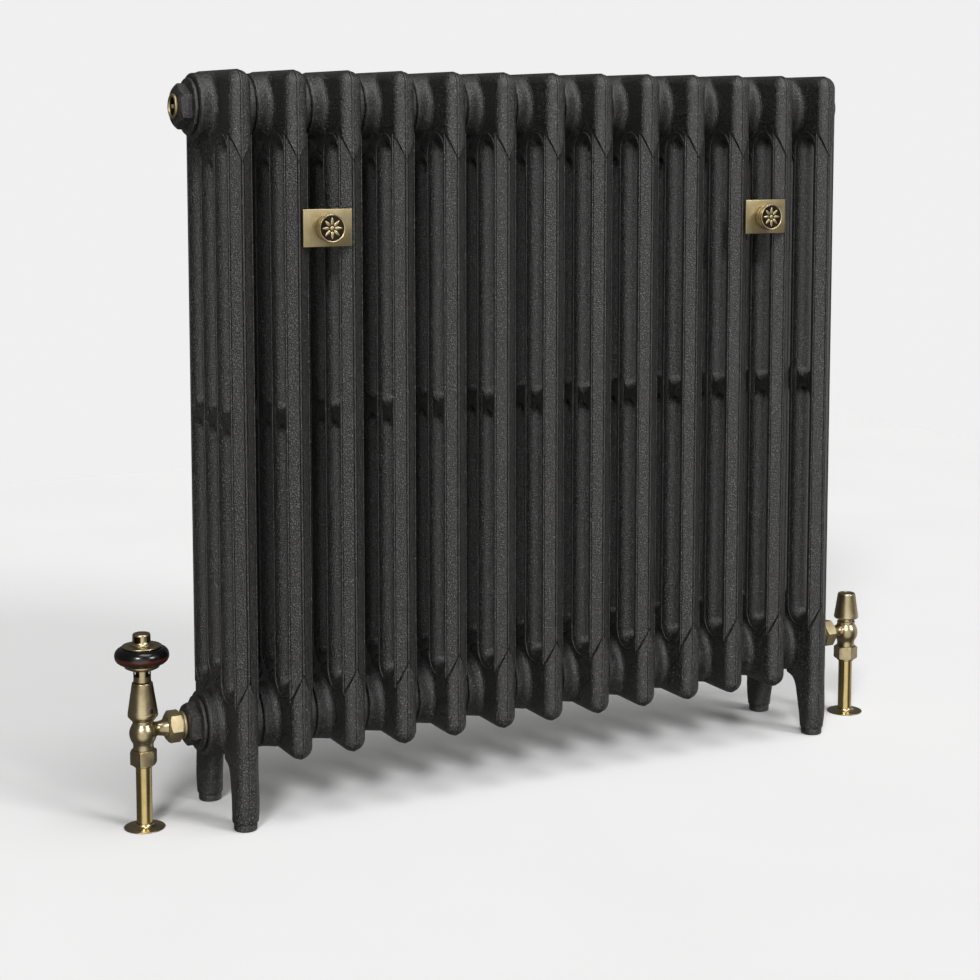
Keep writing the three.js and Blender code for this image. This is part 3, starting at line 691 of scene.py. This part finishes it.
WOOD_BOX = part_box("trv_wood_ring")
MATERIALS = {
    "graphite_paint": graphite_paint(),
    "antique_brass": antique_brass("antique_brass", BRASS_LIGHT, BRASS_DARK, 0.3, ALONG_Z),
    "brass_across": antique_brass("brass_across", BRASS_LIGHT, BRASS_DARK, 0.5, ALONG_X),
    "brass_front": antique_brass("brass_front", srgb(196, 181, 142), srgb(156, 141, 106), 0.4, ALONG_X),
    "pipe_brass": antique_brass("pipe_brass", PIPE_LIGHT, PIPE_DARK, 0.2, (900, 900, 12)),
    # The dark patina is the real colour of the bonnet screw and the knob's recess. It is also painted shade
    # in the vent's recess and behind the head's windows.
    "patina": antique_brass("patina", srgb(58, 50, 42), srgb(30, 25, 20), 0.55, ALONG_Y),
    "dark_wood": dark_wood(WOOD_BOX[0].z, WOOD_BOX[1].z),
    "plain_iron": plain_metal("plain_iron", srgb(70, 68, 66), srgb(38, 36, 35), 0.5),
    "steel": plain_metal("steel", srgb(150, 150, 150), srgb(96, 96, 98), 0.35),
    "capsule_plastic": plain_metal("capsule_plastic", srgb(190, 188, 180), srgb(160, 158, 150), 0.4, 0.0),
}

# ---- Putting a piece in place --------------------------------------------------------------

HUB_LEFT = Matrix.Translation((SECTION_X[0] - HUB_FACE, DEPTH_MIDDLE, 0))
HUB_RIGHT = Matrix.Translation((SECTION_X[-1] + HUB_FACE, DEPTH_MIDDLE, 0))
TRV = Matrix.Translation((middle("trv_pipe").x, middle("trv_pipe").y, 0))
LOCKSHIELD = (
    Matrix.Translation((middle("lockshield_pipe").x, middle("lockshield_pipe").y, 0))
    @ Matrix.Rotation(math.pi, 4, "Z")
)
VALVE_REACH = SECTION_X[0] - HUB_FACE - middle("trv_pipe").x
SHARP_ANGLE = 32


def place(obj, name, matrix, body, slot, material=None, nodes=()):
    """Puts a shape drawn in millimetres where it belongs, and says what it is."""
    obj.name = name
    obj.data.name = name
    obj.data.transform(Matrix.Scale(MM, 4) @ matrix)
    obj.data.shade_smooth()
    obj.data.set_sharp_from_angle(angle=math.radians(SHARP_ANGLE))
    obj.data.materials.clear()
    obj.data.materials.append(MATERIALS[material or slot])
    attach(obj, body)
    if nodes:
        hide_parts(*nodes)


def stand_for(node, obj, matrix, material=None):
    """A fine piece in place of one CAD node."""
    place(obj, f"{node}_fine", matrix, NODE_BODY[node], NODE_SLOT[node], material, [node])


# ---- Sections and nipples ------------------------------------------------------------------


def add_sections():
    plain, legged = section_casting(False), section_casting(True)
    for node, x in zip(SECTIONS, SECTION_X):
        source = legged if node.endswith("_leg") else plain
        copy = bpy.data.objects.new(node, source.data.copy())
        bpy.context.scene.collection.objects.link(copy)
        stand_for(node, copy, Matrix.Translation((x, DEPTH_MIDDLE, 0)))
    discard(plain)
    discard(legged)


def nipple():
    """A nipple: right and left threads with a plain waist between them."""
    threads, thread_pitch = 9, 1.3
    half = [(20.5, -15), (20.5, -14.2)]
    for k in range(threads):
        z = -13.4 + k * thread_pitch
        half += [(19.9, z - 0.35), (20.5, z + 0.3)]
    outer = half + [(19.6, -1.6), (19.6, 1.6)] + [(r, -z) for r, z in reversed(half)]
    return turned(outer + [(16.5, 15), (16.5, -15)], 48)


def add_nipples():
    for i, (a, b) in enumerate(zip(SECTION_X, SECTION_X[1:]), 1):
        for level, z in (("top", HIGH_AXIS), ("bottom", LOW_AXIS)):
            name = f"nipple_{level}_{i:02d}"
            matrix = Matrix.Translation(((a + b) / 2, DEPTH_MIDDLE, z))
            obj = turned_to(nipple(), (1, 0, 0))
            if level == "top":
                stand_for(name, obj, matrix)
            else:
                place(obj, name, matrix, ROOT, "plain_iron")


# ---- Plugs, bushes and the vent, drawn with the hub face at Z = 0 ---------------------------

PLUG_BORE = 10.5
VENT_FACE = 19.3
VENT_SEAT = 13.8


def plug(bore):
    """A hexagon-headed plug or bush, with a round flange and a bore."""
    flange = turned([
        (0, -15), (19.6, -15, 0.8), (20.5, -14), (20.5, 0.5), (27.8, 0.5, 0.3), (28.2, 1.1, 0.4),
        (28.2, 3.2, 0.6), (27.3, 4, 0.5), (23.8, 4.4, 0.3), (0, 4.4),
    ], 72)
    head = hexagon(22.8, 4, 16, chamfer=3.6, bottom_chamfer=0.2, face=18.4)
    whole = join(flange, head)
    if bore:
        whole = cut(whole, turned([
            (0, -16), (bore, -16), (bore, 14.6), (bore + 1.6, 17), (0, 17),
        ], 48))
    return whole


def vent_body():
    """A brass ring round a deep recess, with its shank in the plug."""
    return turned([
        (3, -15), (10.2, -15, 0.5), (10.2, 16.3), (12.1, 16.3, 0.3), (12.5, 16.9, 0.4), (12.4, 18.5, 0.5),
        (11.7, 19.2, 0.5), (10.4, VENT_FACE, 0.3), (9.8, 18.7, 0.3), (9.4, 17.6, 0.2), (9.2, VENT_SEAT),
        (3, VENT_SEAT),
    ])


def vent_painted_shade():
    """A thin dark sheet on the floor and lower wall of the vent's recess: painted shade, standing in for the
    recess's shadow.
    """
    return turned([
        (3.1, VENT_SEAT + 0.05), (9.15, VENT_SEAT + 0.05), (9.3, 17.4), (9, 17.3), (8.8, VENT_SEAT + 0.25),
        (3.1, VENT_SEAT + 0.25),
    ])


def vent_screw():
    """The square-headed bleed screw."""
    seat = VENT_SEAT + 0.35
    stem = turned([
        (0, 2), (2, 2.6), (2.5, 3.4), (2.5, seat), (3.5, seat, 0.2), (3.5, seat + 1.2, 0.4), (0, seat + 1.5),
    ], 32)
    return join(stem, box((-1.9, -1.9, seat + 0.8), (1.9, 1.9, VENT_FACE - 0.2), edge=0.3))


def add_plugs():
    high, low = Matrix.Translation((0, 0, HIGH_AXIS)), Matrix.Translation((0, 0, LOW_AXIS))
    outward, inward = (-1, 0, 0), (1, 0, 0)
    stand_for("vent_plug", turned_to(plug(PLUG_BORE), outward), HUB_LEFT @ high)
    stand_for("bush_left", turned_to(plug(PLUG_BORE), outward), HUB_LEFT @ low)
    stand_for("blank_plug", turned_to(plug(0), inward), HUB_RIGHT @ high)
    stand_for("bush_right", turned_to(plug(PLUG_BORE), inward), HUB_RIGHT @ low)
    stand_for("vent_body", turned_to(vent_body(), outward), HUB_LEFT @ high, "brass_across")
    stand_for("vent_screw", turned_to(vent_screw(), outward), HUB_LEFT @ high, "brass_across")
    # A dark sheet in the vent's recess: painted shade, made in the dark patina material.
    shade_sheet = turned_to(vent_painted_shade(), outward)
    place(shade_sheet, "vent_painted_shade", HUB_LEFT @ high, ROOT, "antique_brass", "patina")


# ---- Valves --------------------------------------------------------------------------------


def towards_radiator(obj):
    """A union piece, drawn from the hub face outwards, laid along the branch."""
    return moved(turned_to(obj, (-1, 0, 0)), x=VALVE_REACH, z=LOW_AXIS)


def valve_body(gland):
    """The elbow casting: barrel, belly and flared branch, bored through."""
    barrel = turned([
        (0, 69), (9.8, 69), (9.8, 81.2), (10.5, 81.3, 0.2), (10.4, 82.6), (10.15, 84.4), (10.2, 86),
        (10.7, 87.9), (11.7, 89.7), (12.8, 91.8), (13.5, 94), (13.9, 97), (13.7, 100), (12.9, 103),
        (11.7, 105.4), (10.8, 107, 0.8), (10.4, 108.4), (10.6, 109.6, 0.4), (10.6, 111, 0.3), (0, 111),
    ], 72)
    if gland:
        barrel = join(barrel, turned([
            (0, 105), (9.2, 105), (9.2, 110.6, 0.6), (7.4, 111, 0.4), (7.4, 114, 0.6), (0, 114),
        ]))
    end = VALVE_REACH - 35.3
    branch = turned([
        (0, 2), (10.4, 2), (8.8, 9.6), (7.5, 12), (7.1, 13.8), (7.2, 16), (7.7, 18.6), (8.5, 21.2),
        (9.5, end), (11.6, end), (11.6, end + 4.1), (0, end + 4.1),
    ], 64)
    branch = moved(turned_to(branch, (1, 0, 0)), z=LOW_AXIS)
    cross_bore = moved(turned_to(bar(4.6, 0, VALVE_REACH), (1, 0, 0)), z=LOW_AXIS)
    bores = [bar(8.4, 60, 76.3), bar(3.6 if gland else 6.4, 76, 116), cross_bore]
    if gland:
        bores.append(bar(6.4, 76, 104))
    return cut(join(barrel, branch), *bores)


def union_tail():
    return towards_radiator(turned([
        (6.8, -15), (10.2, -15, 0.4), (10.2, 16.3), (13.5, 16.3, 0.3), (14, 16.9, 0.4), (14, 18.6, 0.5),
        (13.4, 19.4, 0.3), (12.3, 19.5), (12.3, 19.8), (12.8, 19.85, 0.2), (13, 20.3, 0.3), (12.7, 21, 0.2),
        (10, 21), (10, 28), (11.4, 28), (11.4, 31), (6.8, 31),
    ]))


UNION_NUT_TURN = 23


def union_nut():
    blank = hexagon(16.7, 21.3, 35.5, chamfer=3.4, bottom_chamfer=1.6, face=12.4)
    nut = cut(blank, bar(10.4, 19, 25), bar(11.8, 24, 43))
    nut.data.transform(Matrix.Rotation(math.radians(UNION_NUT_TURN), 4, "Z"))
    return towards_radiator(nut)


def compression_nut(turn):
    collar = turned([(0, 63.1), (9.4, 63.1, 0.4), (9.9, 63.8, 0.3), (9.9, 65, 0.3), (9.4, 65.8), (0, 67)])
    blank = join(hexagon(14.1, 65.6, 81, chamfer=2.2, bottom_chamfer=1.3, face=11.2), collar)
    nut = cut(blank, bar(8.5, 60, 68.5), bar(10.6, 68, 83))
    nut.data.transform(Matrix.Rotation(math.radians(turn), 4, "Z"))
    return nut


def pipe():
    return turned([(7, 0), (8, 0), (8, 76, 0.4), (7, 76)], 64)


def floor_plate():
    return turned([
        (8.4, 0), (20.6, 0, 0.2), (20.8, 0.4, 0.2), (20.6, 0.8, 0.2), (16, 1.3), (12.4, 1.8), (10.4, 2.5),
        (9.3, 3.6), (9, 4.8, 0.2), (8.4, 4.8),
    ], 80)


def add_shared_valve_pieces(prefix, matrix, gland, nut_turn):
    stand_for(f"{prefix}_body", valve_body(gland), matrix)
    stand_for(f"{prefix}_union_tail", union_tail(), matrix, "brass_across")
    stand_for(f"{prefix}_union_nut", union_nut(), matrix, "brass_across")
    stand_for(f"{prefix}_compression_nut", compression_nut(nut_turn), matrix)
    stand_for(f"{prefix}_pipe", pipe(), matrix)
    stand_for(f"{prefix}_floor_plate", floor_plate(), matrix)


def bonnet():
    """The tapered bonnet, with a line above its lower rim."""
    return turned([
        (3.3, 111.4), (11.6, 111.4, 0.4), (12.4, 112), (14.9, 115.1, 0.2), (15.15, 115.7),
        (15.15, 118.6, 0.2), (14.8, 118.8), (14.8, 119.3, 0.1), (15, 119.5), (10.4, 149.4, 0.4),
        (9.8, 150), (3.3, 150),
    ], 80)


def bonnet_screw():
    """The small dark grub screw low on the bonnet's side."""
    angle = math.radians(-70)
    reach, height = 14.3, 122.5
    across = Vector((math.cos(angle), math.sin(angle), 0.15))
    head = turned([(0, -2), (2.2, -2), (2.2, 0.5, 0.4), (1.7, 0.9, 0.3), (0, 0.9)], 32)
    socket = bar(1, 0, 2, 6)
    return moved(turned_to(cut(head, socket), across), reach * across.x, reach * across.y, height)


def window_painted_shade(radius, bore, bottom, top):
    """A dark sleeve seen through a ring of windows: painted shade for the hollow behind them."""
    return turned([(bore, bottom), (radius, bottom), (radius, top), (bore, top)], 48)


def facing_windows(half_width, bottom, top, degrees):
    """Two crossed boxes that cut four windows round the head's axis."""
    reach = 12
    crossed = [
        box((-reach, -half_width, bottom), (reach, half_width, top)),
        box((-half_width, -reach, bottom), (half_width, reach, top)),
    ]
    for window in crossed:
        window.data.transform(Matrix.Rotation(math.radians(degrees), 4, "Z"))
    return crossed


def head_neck():
    """The neck with four air windows, and the dish that carries the wooden ring."""
    shell = turned([
        (3.6, 150.3), (8.2, 150.3, 0.4), (8.8, 151), (8.8, 162.2, 0.3), (9.4, 162.9), (13.6, 163.6, 1),
        (17.2, 165.4, 0.6), (17.9, 166.6, 0.4), (17.9, 168, 0.4), (17.2, 168.6, 0.3), (3.6, 168.6),
    ], 72)
    hollow = bar(7.6, 155.4, 162.2)
    return cut(shell, hollow, *facing_windows(3.6, 156.4, 161.9, 30))


def wood_ring():
    middle_radius, middle_height = 19.3, 177.5
    half_width, half_height = 8.1, 8.3
    corners = [(15.6, 170.4)]
    for degrees in range(-110, 111, 10):
        angle = math.radians(degrees)
        radius = middle_radius + half_width * math.cos(angle)
        corners.append((radius, middle_height + half_height * math.sin(angle)))
    return turned(corners + [(15.6, 184.6)], 96)


def head_cup():
    """The sleeve inside the wooden ring and the disc on top of it."""
    return turned([
        (0, 185.5), (12.6, 185.5), (12.6, 170.2), (15, 170.2), (15, 186.1), (19.2, 186.1, 0.3),
        (20, 186.7, 0.4), (19.7, 187.6, 0.5), (16.5, 188.3), (12, 188.3), (0, 188.3),
    ], 80)


def finial():
    """The crown: a flared foot, four wide windows under a plain cap, and a screw head inside."""
    crown = turned([
        (0, 188.6), (12, 188.6, 0.2), (11.9, 189.1, 0.2), (10.5, 189.8), (9.5, 191), (9.05, 192.4),
        (9, 198.6, 0.4), (8.2, 200, 0.6), (0, 200),
    ], 72)
    hollow = bar(7.6, 190.8, 198.3)
    screw = turned([(0, 190), (3.2, 190), (3.2, 191.8, 0.6), (2.2, 192.6, 0.6), (0, 192.8)], 32)
    return join(cut(crown, hollow, *facing_windows(3.7, 191.2, 197.8, 43)), screw)


def wax_capsule():
    return turned([(0, 170.6), (3, 170.6), (9.4, 172, 0.8), (10, 173), (10, 179.6, 0.8), (0, 181.6)], 48)


def valve_pin():
    return turned([(0, 86), (5.2, 86, 0.4), (5.2, 89.5, 0.4), (2.6, 89.5), (2.6, 170.3, 0.4), (0, 170.3)], 32)


def lockshield_spindle():
    stem = turned([(0, 86), (5.2, 86, 0.4), (5.2, 89.5, 0.4), (3.2, 89.5), (3.2, 124, 0.4), (0, 124)], 32)
    return join(stem, box((-2.2, -2.2, 122), (2.2, 2.2, 130), edge=0.3))


def lockshield_cap():
    return turned([
        (0, 141.5), (7.2, 141.5), (8.2, 115), (13.6, 115, 0.3), (14.6, 116.4, 0.5), (14.4, 117.4),
        (10.4, 144.4, 0.6), (9.3, 145.5, 0.6), (7.6, 145.5, 0.2), (7.2, 145.1), (0, 145.1),
    ], 80)


def add_valves():
    add_shared_valve_pieces("trv", TRV, False, nut_turn=0)
    add_shared_valve_pieces("lockshield", LOCKSHIELD, True, nut_turn=20)
    stand_for("trv_bonnet", bonnet(), TRV)
    place(bonnet_screw(), "trv_bonnet_screw", TRV, ROOT, "antique_brass", "patina")
    stand_for("trv_neck", head_neck(), TRV)
    # A dark sleeve behind the neck's windows: painted shade.
    place(window_painted_shade(6.6, 3.7, 155.6, 162), "trv_neck_painted_shade", TRV, ROOT, "antique_brass", "patina")
    stand_for("trv_wood_ring", wood_ring(), TRV)
    stand_for("trv_head_cup", head_cup(), TRV)
    stand_for("trv_finial", finial(), TRV)
    # A dark sleeve behind the crown's windows: painted shade.
    shade_sheet = window_painted_shade(6.6, 3.4, 190.9, 198.2)
    place(shade_sheet, "trv_finial_painted_shade", TRV, NODE_BODY["trv_finial"], "antique_brass", "patina")
    stand_for("trv_wax_capsule", wax_capsule(), TRV)
    stand_for("trv_pin", valve_pin(), TRV)
    stand_for("lockshield_spindle", lockshield_spindle(), LOCKSHIELD)
    stand_for("lockshield_cap", lockshield_cap(), LOCKSHIELD)


# ---- Wall stays, drawn with the front towards +Z and the middle of the depth at Z = 0 -------

STAY_BACK = 67.4
KNOB_BACK = 70.7
KNOB_TOP = KNOB_BACK + 12
ROD_BORE = 5.5
PETALS = 8
PETAL_REACH = 7.1


def stay_plate():
    half_width, half_height, thickness = 26.25, 18.75, 3
    low = (-half_width, -half_height, STAY_BACK)
    high = (half_width, half_height, STAY_BACK + thickness)
    return cut(box(low, high, edge=0.5), bar(ROD_BORE, 60, 75))


def stay_knob():
    """A two-step knob with a raised rim round its recessed face."""
    body = turned([
        (0, KNOB_BACK), (13, KNOB_BACK, 0.4), (13.5, KNOB_BACK + 1), (13.5, KNOB_BACK + 2.8, 0.5),
        (12.8, KNOB_BACK + 3.6, 0.3), (12.6, KNOB_BACK + 4.4, 0.4), (13.8, KNOB_BACK + 5.8),
        (14.4, KNOB_TOP - 2.6, 0.8), (14.3, KNOB_TOP - 0.8, 0.5), (13.6, KNOB_TOP - 0.1, 0.3),
        (12.7, KNOB_TOP - 0.8, 0.3), (0, KNOB_TOP - 1.4),
    ], 80)
    return cut(body, bar(ROD_BORE, 60, KNOB_BACK + 6.5))


def petal(angle, length, width, base, rise):
    """One raised petal of the rosette."""
    bm = bmesh.new()
    sides, levels = 20, 4
    rings = []
    for level in range(levels):
        share = level / (levels - 1)
        shrink = 1 - 0.75 * share ** 1.5
        ring = []
        for k in range(sides):
            turn = 2 * math.pi * k / sides
            taper = 1 - 0.35 * math.cos(turn)
            x = length * shrink * math.cos(turn)
            y = width * taper * shrink * math.sin(turn)
            ring.append(bm.verts.new((x, y, base + rise * math.sin(share * math.pi / 2))))
        rings.append(ring)
    loft(bm, rings)
    obj = moved(make_object(bm), x=PETAL_REACH)
    obj.data.transform(Matrix.Rotation(angle, 4, "Z"))
    return obj


def rosette():
    """A plain rosette: petals round a boss, standing on the knob's recessed face."""
    base = KNOB_TOP - 1.6
    petals = [petal(2 * math.pi * k / PETALS, 4.7, 1.9, base, 1.2) for k in range(PETALS)]
    boss = turned([
        (0, base), (2.4, base), (2.4, base + 0.7, 0.4), (1.5, base + 1.4, 0.5), (0, base + 1.5),
    ], 32)
    return join(boss, *petals)


def recess():
    """A thin dark disc: the patina left in the knob's recess."""
    return turned([
        (0, KNOB_TOP - 1.3), (12.6, KNOB_TOP - 0.9), (12.6, KNOB_TOP - 0.75), (0, KNOB_TOP - 1.15),
    ], 64)


def stay_rod():
    """A rod from the wall plate to the knob, threaded at its front end."""
    threads, thread_pitch = 32, 1.1
    outline = [(0, -102), (4.6, -102), (5, -101.4), (5, 40)]
    for k in range(threads):
        outline += [(4.5, 40.6 + k * thread_pitch), (5, 41.1 + k * thread_pitch)]
    return turned(outline + [(4.6, 76.7), (0, 76.7)], 32)


def wall_plate():
    """A round plate on the wall with a socket for the rod and two screw heads."""
    plate = turned([
        (0, -104), (24.4, -104, 0.3), (25, -103.2, 0.4), (24.6, -101.4, 0.8), (12, -98.6), (9.6, -97.4, 0.8),
        (9, -95), (9, -90.6, 0.6), (8.2, -90, 0.3), (0, -90),
    ], 64)
    screw_reach = 17
    screws = []
    for angle in (math.radians(90), math.radians(270)):
        head = turned([(0, -104), (2.8, -104), (2.8, -98.4, 0.5), (1.8, -97.8), (0, -97.8)], 24)
        screws.append(moved(head, screw_reach * math.cos(angle), screw_reach * math.sin(angle)))
    return cut(join(plate, *screws), bar(ROD_BORE, -102.6, -80))


def add_wall_stays():
    for side in ("left", "right"):
        centre = middle(f"stay_plate_{side}")
        matrix = Matrix.Translation((centre.x, DEPTH_MIDDLE, centre.z)) @ Matrix.Rotation(math.pi / 2, 4, "X")
        stand_for(f"stay_plate_{side}", stay_plate(), matrix, "brass_front")
        stand_for(f"stay_knob_{side}", stay_knob(), matrix, "brass_front")
        body = NODE_BODY[f"stay_knob_{side}"]
        place(rosette(), f"rosette_{side}", matrix, body, "antique_brass", "brass_front")
        place(recess(), f"rosette_recess_{side}", matrix, body, "antique_brass", "patina")
        stand_for(f"stay_rod_{side}", stay_rod(), matrix)
        stand_for(f"wall_plate_{side}", wall_plate(), matrix, "brass_front")


# ---- Stage, light and camera ---------------------------------------------------------------

BACKDROP = srgb(240, 240, 240)
FLOOR_REACH = 2
FLOOR_HEIGHT = -0.0004
WORLD_LIGHT = (1, 0.99, 0.97, 1)
WORLD_STRENGTH = 0.1
PANELS = (
    # azimuth, elevation and half angle in degrees, strength
    (-112, -12, 44, 1.1),
    (5, -5, 44, 0.5),
)
LIGHT_AIM = (0, 0, 0.4)
LIGHTS = (
    # name, place, strength, spread in degrees
    ("key", (-1.9, -2.6, 2.7), 1.65, 14),
    ("right", (1.6, -2.8, 2.2), 1.25, 18),
    ("above", (0.3, -0.5, 2.8), 1.3, 30),
)
CAMERA_PLACE = (-1.0413, -1.9244, 0.7078)
CAMERA_DOWN, CAMERA_RIGHT = 5.951, 27.565
CAMERA_SENSOR, CAMERA_LENS = 36, 74.11
CAMERA_SHIFT = -0.16


def add_stage():
    """A pale paper floor, left out of the reflections in brass and paint."""
    bm = bmesh.new()
    bmesh.ops.create_grid(bm, x_segments=1, y_segments=1, size=FLOOR_REACH)
    floor = make_object(bm, "floor")
    floor.location.z = FLOOR_HEIGHT
    s = Surface("floor_paper").set(Roughness=0.95, Specular_IOR_Level=0.1)
    s.color(s.ramp(s.noise(3, 2), [(0.3, srgb(237, 237, 237)), (0.7, srgb(239, 239, 239))]))
    floor.data.materials.append(s.material)
    floor.visible_glossy = False


def add_light(name, location, strength, spread):
    """A soft far-off light, so that the floor is evenly lit."""
    light = bpy.data.lights.new(name, "SUN")
    light.energy = strength
    light.angle = math.radians(spread)
    obj = bpy.data.objects.new(name, light)
    bpy.context.scene.collection.objects.link(obj)
    obj.location = location
    obj.rotation_euler = (Vector(LIGHT_AIM) - Vector(location)).to_track_quat("-Z", "Y").to_euler()


def add_panel(tree, azimuth, elevation, half_angle, strength):
    """A large soft panel in the world, so that brass has a bright band between dark edges."""
    turn, lift = math.radians(azimuth), math.radians(elevation)
    towards = (math.cos(turn) * math.cos(lift), math.sin(turn) * math.cos(lift), math.sin(lift))
    outlook, facing = tree.nodes.new("ShaderNodeTexCoord"), tree.nodes.new("ShaderNodeVectorMath")
    facing.operation = "DOT_PRODUCT"
    facing.inputs[1].default_value = towards
    tree.links.new(outlook.outputs["Generated"], facing.inputs[0])
    glow = tree.nodes.new("ShaderNodeMapRange")
    glow.interpolation_type = "SMOOTHSTEP"
    glow.inputs["From Min"].default_value = math.cos(math.radians(half_angle))
    glow.inputs["From Max"].default_value = math.cos(math.radians(half_angle * 0.5))
    glow.inputs["To Max"].default_value = strength
    tree.links.new(facing.outputs["Value"], glow.inputs["Value"])
    return glow.outputs["Result"]


def add_world():
    """A pale backdrop whose light on the object is dimmer than it looks behind the floor."""
    world = bpy.data.worlds.new("studio")
    world.use_nodes = True
    tree = world.node_tree
    seen, shining = tree.nodes["Background"], tree.nodes.new("ShaderNodeBackground")
    seen.inputs["Color"].default_value = BACKDROP
    shining.inputs["Color"].default_value = WORLD_LIGHT
    glow = None
    for panel in PANELS:
        both = tree.nodes.new("ShaderNodeMath")
        both.inputs[0].default_value = WORLD_STRENGTH
        if glow:
            tree.links.new(glow, both.inputs[0])
        tree.links.new(add_panel(tree, *panel), both.inputs[1])
        glow = both.outputs["Value"]
    tree.links.new(glow, shining.inputs["Strength"])
    ray, mix = tree.nodes.new("ShaderNodeLightPath"), tree.nodes.new("ShaderNodeMixShader")
    tree.links.new(ray.outputs["Is Camera Ray"], mix.inputs["Fac"])
    tree.links.new(shining.outputs["Background"], mix.inputs[1])
    tree.links.new(seen.outputs["Background"], mix.inputs[2])
    tree.links.new(mix.outputs["Shader"], tree.nodes["World Output"].inputs["Surface"])
    bpy.context.scene.world = world


def add_lights():
    for row in LIGHTS:
        add_light(*row)
    bpy.context.scene.view_settings.view_transform = "Standard"


def add_camera():
    camera = bpy.data.cameras.new("camera")
    camera.sensor_width = CAMERA_SENSOR
    camera.lens = CAMERA_LENS
    camera.shift_y = CAMERA_SHIFT
    obj = bpy.data.objects.new("camera", camera)
    bpy.context.scene.collection.objects.link(obj)
    obj.location = CAMERA_PLACE
    obj.rotation_euler = (math.radians(90 - CAMERA_DOWN), 0, math.radians(-CAMERA_RIGHT))
    bpy.context.scene.camera = obj


add_camera()
add_stage()
add_world()
add_lights()
add_sections()
add_nipples()
add_plugs()
add_valves()
add_wall_stays()
